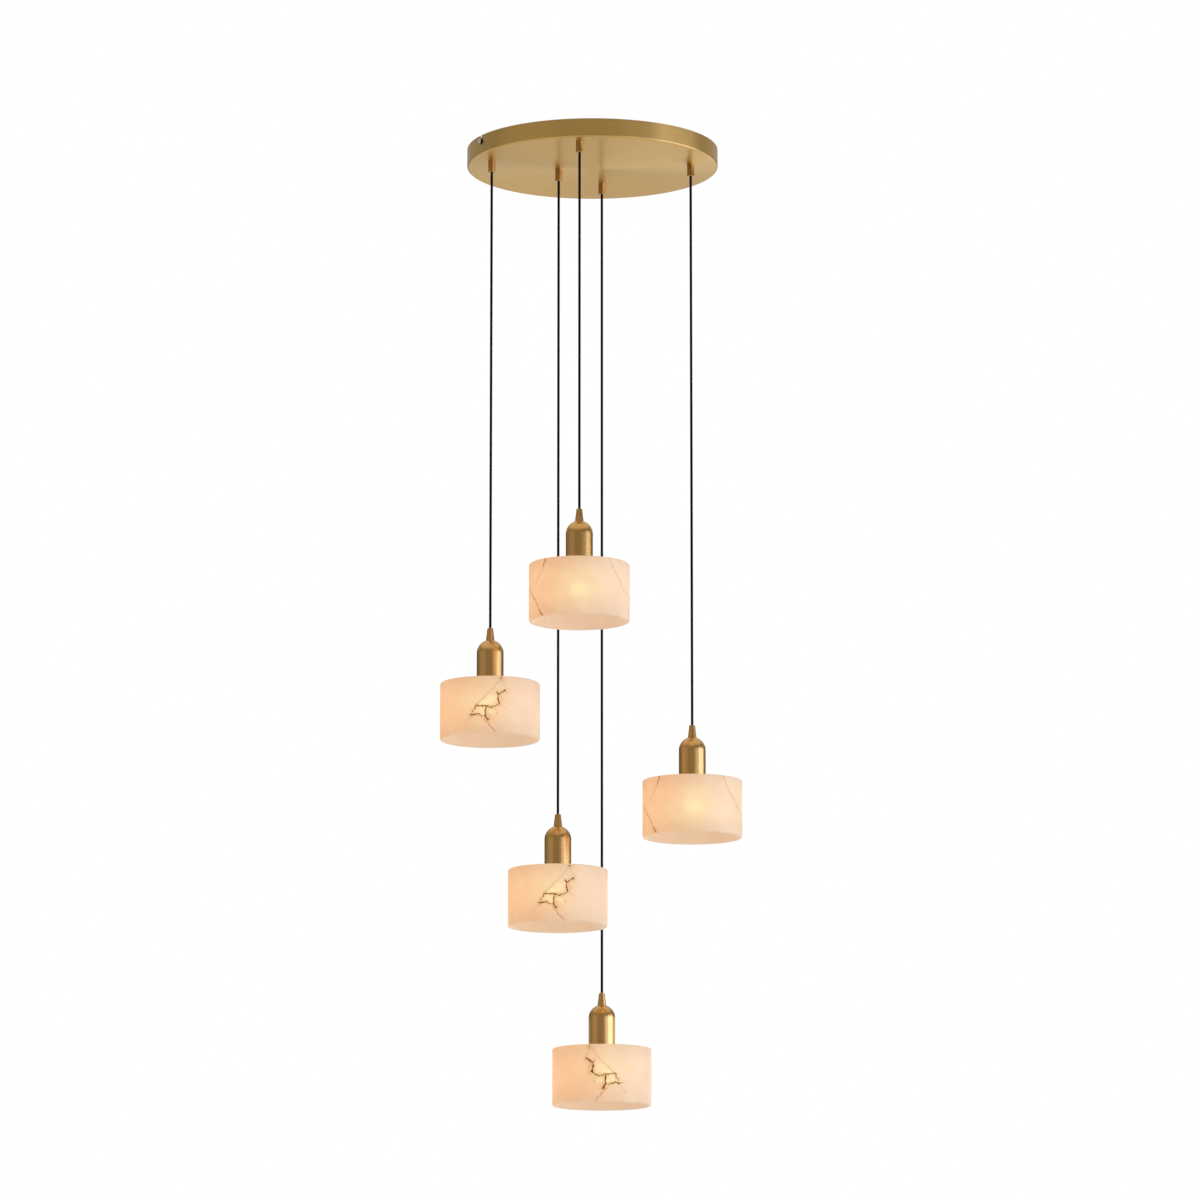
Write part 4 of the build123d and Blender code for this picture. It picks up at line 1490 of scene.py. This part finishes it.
@dataclass
class Studio:
    """A pale floor below, a white surround, soft lamps, and a wall of soft boxes that only metal sees."""

    floor_height: float = -2.6
    floor_radius: float = 60.0
    floor_tone: float = 0.9
    floor_share: float = 0.5
    shadow_radius: float = 2.5
    fill: float = 0.42
    wall_radius: float = 5.0
    wall_low: float = -3.4
    wall_high: float = 2.8
    wall_level: float = 0.36
    lamps: tuple[SoftLamp, ...] = (
        SoftLamp("soft_right", 62.0, 4.0, 0.3, 3.0, 3.6, 80.0, (1.0, 0.985, 0.965)),
        SoftLamp("soft_left", -80.0, 4.5, 0.6, 2.6, 3.0, 30.0, (1.0, 0.975, 0.94)),
    )
    bands: tuple[ReflectedBand, ...] = (
        ReflectedBand(84.0, 24.0, 9.0, -2.4, -0.1, 2.6, 0.1, COOL_WHITE),
        ReflectedBand(84.0, 24.0, 9.0, -0.1, 0.26, 2.1, 0.1),
        ReflectedBand(50.0, 20.0, 10.0, -2.4, -0.34, 1.3, 0.1, COOL_WHITE),
        ReflectedBand(54.0, 34.0, 20.0, -2.4, -0.2, 0.5, 0.12),
        ReflectedBand(-66.0, 26.0, 12.0, -2.4, 0.35, 0.26, 0.15),
        ReflectedBand(180.0, 58.0, 12.0, -0.75, 0.5, -0.24, 0.15),
        ReflectedBand(70.0, 44.0, 12.0, 0.45, 2.8, -0.34, 0.15),
        ReflectedBand(145.0, 22.0, 12.0, 0.6, 2.8, 0.2, 0.2),
        ReflectedBand(-140.0, 30.0, 14.0, 0.6, 2.8, 0.14, 0.2),
        ReflectedBand(180.0, 60.0, 14.0, -3.2, -0.72, 0.38, 0.15),
        ReflectedBand(130.0, 42.0, 18.0, -3.2, -0.72, 0.74, 0.15),
    )

    def build(self, view: PhotographView) -> None:
        """Builds the studio round the object.

        Args:
            view: the photograph's camera, which the lamps are placed from.
        """
        low, high = MODEL_BOX
        target = (low + high) / 2
        self._floor()
        self._surround()
        self._wall(view.heading_deg)
        for lamp in self.lamps:
            lamp.build(view.heading_deg, target)
        bpy.context.scene.view_settings.view_transform = "Standard"
        view.build()
        log.info("studio built with %d lamps", len(self.lamps))

    def _floor(self) -> None:
        """The floor: pale with the object's shadow, white further out and in metal, clear from beneath."""
        made, w, shader = start_material("studio_floor")
        place = w.place()
        speckle = w.noise(place, 3.0, 3.0, 0.5)
        pale = (self.floor_tone, self.floor_tone, self.floor_tone)
        tone = w.mix(w.times(speckle, 0.1), pale, (0.84, 0.84, 0.83))
        w.feed(shader, Base_Color=tone)
        w.feed(shader, Roughness=0.9)
        light = w.node("Emission", {"Color": (*WHITE, 1.0), "Strength": self.floor_share}).outputs[0]
        white = w.node("Emission", {"Color": (*WHITE, 1.0), "Strength": 1.0}).outputs[0]
        near = w.node("AddShader", {0: shader.outputs[0], 1: light}).outputs[0]
        away = w.vector("LENGTH", w.vector("MULTIPLY", place, (1.0, 1.0, 0.0)))
        far = w.ramp(away, self.shadow_radius, self.shadow_radius * 2)
        seen = w.node("MixShader", {0: far, 1: near, 2: white}).outputs[0]
        path = w.node("LightPath").outputs
        lit = w.node("MixShader", {0: path["Is Camera Ray"], 1: shader.outputs[0], 2: seen}).outputs[0]
        mirrored = w.larger(path["Is Glossy Ray"], path["Is Transmission Ray"])
        top = w.node("MixShader", {0: mirrored, 1: lit, 2: white}).outputs[0]
        clear = w.node("BsdfTransparent").outputs[0]
        beneath = w.node("NewGeometry").outputs["Backfacing"]
        both = w.node("MixShader", {0: beneath, 1: top, 2: clear}).outputs[0]
        w.feed(made.node_tree.nodes["Material Output"], Surface=both)
        bm = bmesh.new()
        bmesh.ops.create_circle(bm, segments=96, radius=self.floor_radius, cap_ends=True)
        bmesh.ops.translate(bm, verts=bm.verts, vec=(0, 0, self.floor_height))
        finished_mesh("studio_floor", bm, made)

    def _wall(self, heading_deg: float) -> None:
        """The round wall of soft boxes, which lights nothing and shows only in metal and gloss.

        Args:
            heading_deg: the camera's heading from +Y.
        """
        made, w, shader = start_material("soft_boxes")
        place = w.place()
        turn_back = (0.0, 0.0, math.radians(heading_deg))
        turned = w.node("Mapping", {"Vector": place, "Rotation": turn_back}).outputs[0]
        parts = w.node("SeparateXYZ", {0: turned}).outputs
        turn = w.math("ARCTAN2", parts[0], w.times(parts[1], -1.0))
        light = (self.wall_level, self.wall_level, self.wall_level)
        for band in self.bands:
            light = band.add(w, turn, parts[2], light)
        light = w.node("Emission", {"Color": light, "Strength": 1.0}).outputs[0]
        w.feed(made.node_tree.nodes["Material Output"], Surface=light)
        made.node_tree.nodes.remove(shader)
        made.cycles.emission_sampling = "NONE"
        bm = bmesh.new()
        bmesh.ops.create_circle(bm, segments=128, radius=self.wall_radius)
        bmesh.ops.translate(bm, verts=bm.verts, vec=(0, 0, self.wall_low))
        risen = bmesh.ops.extrude_edge_only(bm, edges=list(bm.edges))["geom"]
        top = [g for g in risen if isinstance(g, bmesh.types.BMVert)]
        bmesh.ops.translate(bm, verts=top, vec=(0, 0, self.wall_high - self.wall_low))
        wall = finished_mesh("soft_box_wall", bm, made)
        wall.visible_camera = False
        wall.visible_diffuse = False
        wall.visible_transmission = False
        wall.visible_shadow = False

    def _surround(self) -> None:
        """The world: white to the camera, to metal and through glass, and a soft fill to the rest."""
        world = bpy.data.worlds.new("surround")
        world.use_nodes = True
        w = Wiring(world.node_tree)
        path = w.node("LightPath").outputs
        seen = w.larger(path["Is Camera Ray"], path["Is Glossy Ray"])
        seen = w.larger(seen, path["Is Transmission Ray"])
        strength = w.node("Mix", {0: seen, 2: self.fill, 3: 1.0}).outputs[0]
        w.feed(world.node_tree.nodes["Background"], Color=(*WHITE, 1.0), Strength=strength)
        bpy.context.scene.world = world


def shared_finishes(effects: Effects) -> dict[str, Material]:
    """Builds the finishes that several pieces share.

    Args:
        effects: the shared groups.

    Returns:
        The materials by a plain name.
    """
    finishes = {
        "steel": RolledMetal("zinc_steel", (0.62, 0.63, 0.64)),
        "screw_steel": RolledMetal("screw_steel", (0.72, 0.71, 0.68), roughness=0.22),
        "side_screw": ScrewWithPaintedShade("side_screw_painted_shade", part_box("side_screws")[1].x),
        "grip_brass": RolledMetal("grip_brass", (0.47, 0.27, 0.09), roughness=0.3),
        "shell_brass": RolledMetal("shell_brass", (0.62, 0.45, 0.20), roughness=0.3),
        "cap_metal": RolledMetal("cap_nickel", (0.70, 0.68, 0.64), roughness=0.25),
        "nylon": Moulding("nylon", (0.72, 0.70, 0.66)),
        "terminal_plastic": Moulding("terminal_plastic", (0.78, 0.76, 0.70)),
        "ring_plastic": Moulding("ring_plastic", (0.74, 0.71, 0.66)),
        "ceramic": Moulding("holder_ceramic", (0.80, 0.78, 0.72), roughness=0.3, coat=0.6),
        "bead": Moulding("black_glass_bead", (0.03, 0.03, 0.035), roughness=0.2, coat=0.4),
        "sleeve": BraidedSleeve("black_braid"),
    }
    return {name: finish.build(effects) for name, finish in finishes.items()}


def tail_routes() -> dict[int, list[Point]]:
    """The cord tails' points, from each canopy grip to its way in the terminal block, in metres."""
    return {
        1: [(-0.0970, -0.1398, -0.0459), (-0.0970, -0.1398, -0.0095), (-0.0700, -0.0980, -0.0142),
            (-0.0380, -0.0560, -0.0188), (-0.0135, -0.0340, -0.0235), (-0.0135, -0.0100, -0.0235)],
        2: [(-0.1619, 0.0363, -0.0459), (-0.1619, 0.0363, -0.0095), (-0.1120, 0.0300, -0.0142),
            (-0.0640, 0.0200, -0.0188), (-0.0225, 0.0240, -0.0235), (-0.0225, 0.0100, -0.0235)],
        3: [(0.1293, -0.0902, -0.0459), (0.1293, -0.0902, -0.0095), (0.0920, -0.0700, -0.0142),
            (0.0480, -0.0520, -0.0188), (0.0135, -0.0320, -0.0235), (0.0135, -0.0100, -0.0235)],
        4: [(-0.0411, 0.0377, -0.0459), (-0.0411, 0.0377, -0.0095), (-0.0160, 0.0440, -0.0165),
            (-0.0045, 0.0240, -0.0235), (-0.0045, 0.0100, -0.0235)],
        5: [(0.0593, 0.0795, -0.0459), (0.0593, 0.0795, -0.0095), (0.0360, 0.0580, -0.0142),
            (0.0120, 0.0420, -0.0188), (0.0045, 0.0240, -0.0235), (0.0045, 0.0100, -0.0235)],
    }


def main() -> None:
    """Builds the whole scene in order."""
    logging.basicConfig(level=logging.INFO, format="%(name)s: %(message)s")
    effects = Effects()
    shared = shared_finishes(effects)
    view = PhotographView()
    CeilingCanopy(tails=tail_routes()).build(effects, shared)
    pendants = [
        Pendant(1, Vein.QUIET, lift=0.12),
        Pendant(2, Vein.CRACKED, lift=0.12),
        Pendant(3, Vein.QUIET, lift=0.12),
        Pendant(4, Vein.CRACKED, lift=0.08),
        Pendant(5, Vein.CRACKED, lift=0.08, mirrored=True),
    ]
    for pendant in pendants:
        pendant.build(effects, shared, view.heading_deg)
    Studio().build(view)


if __name__ == "__main__":
    main()
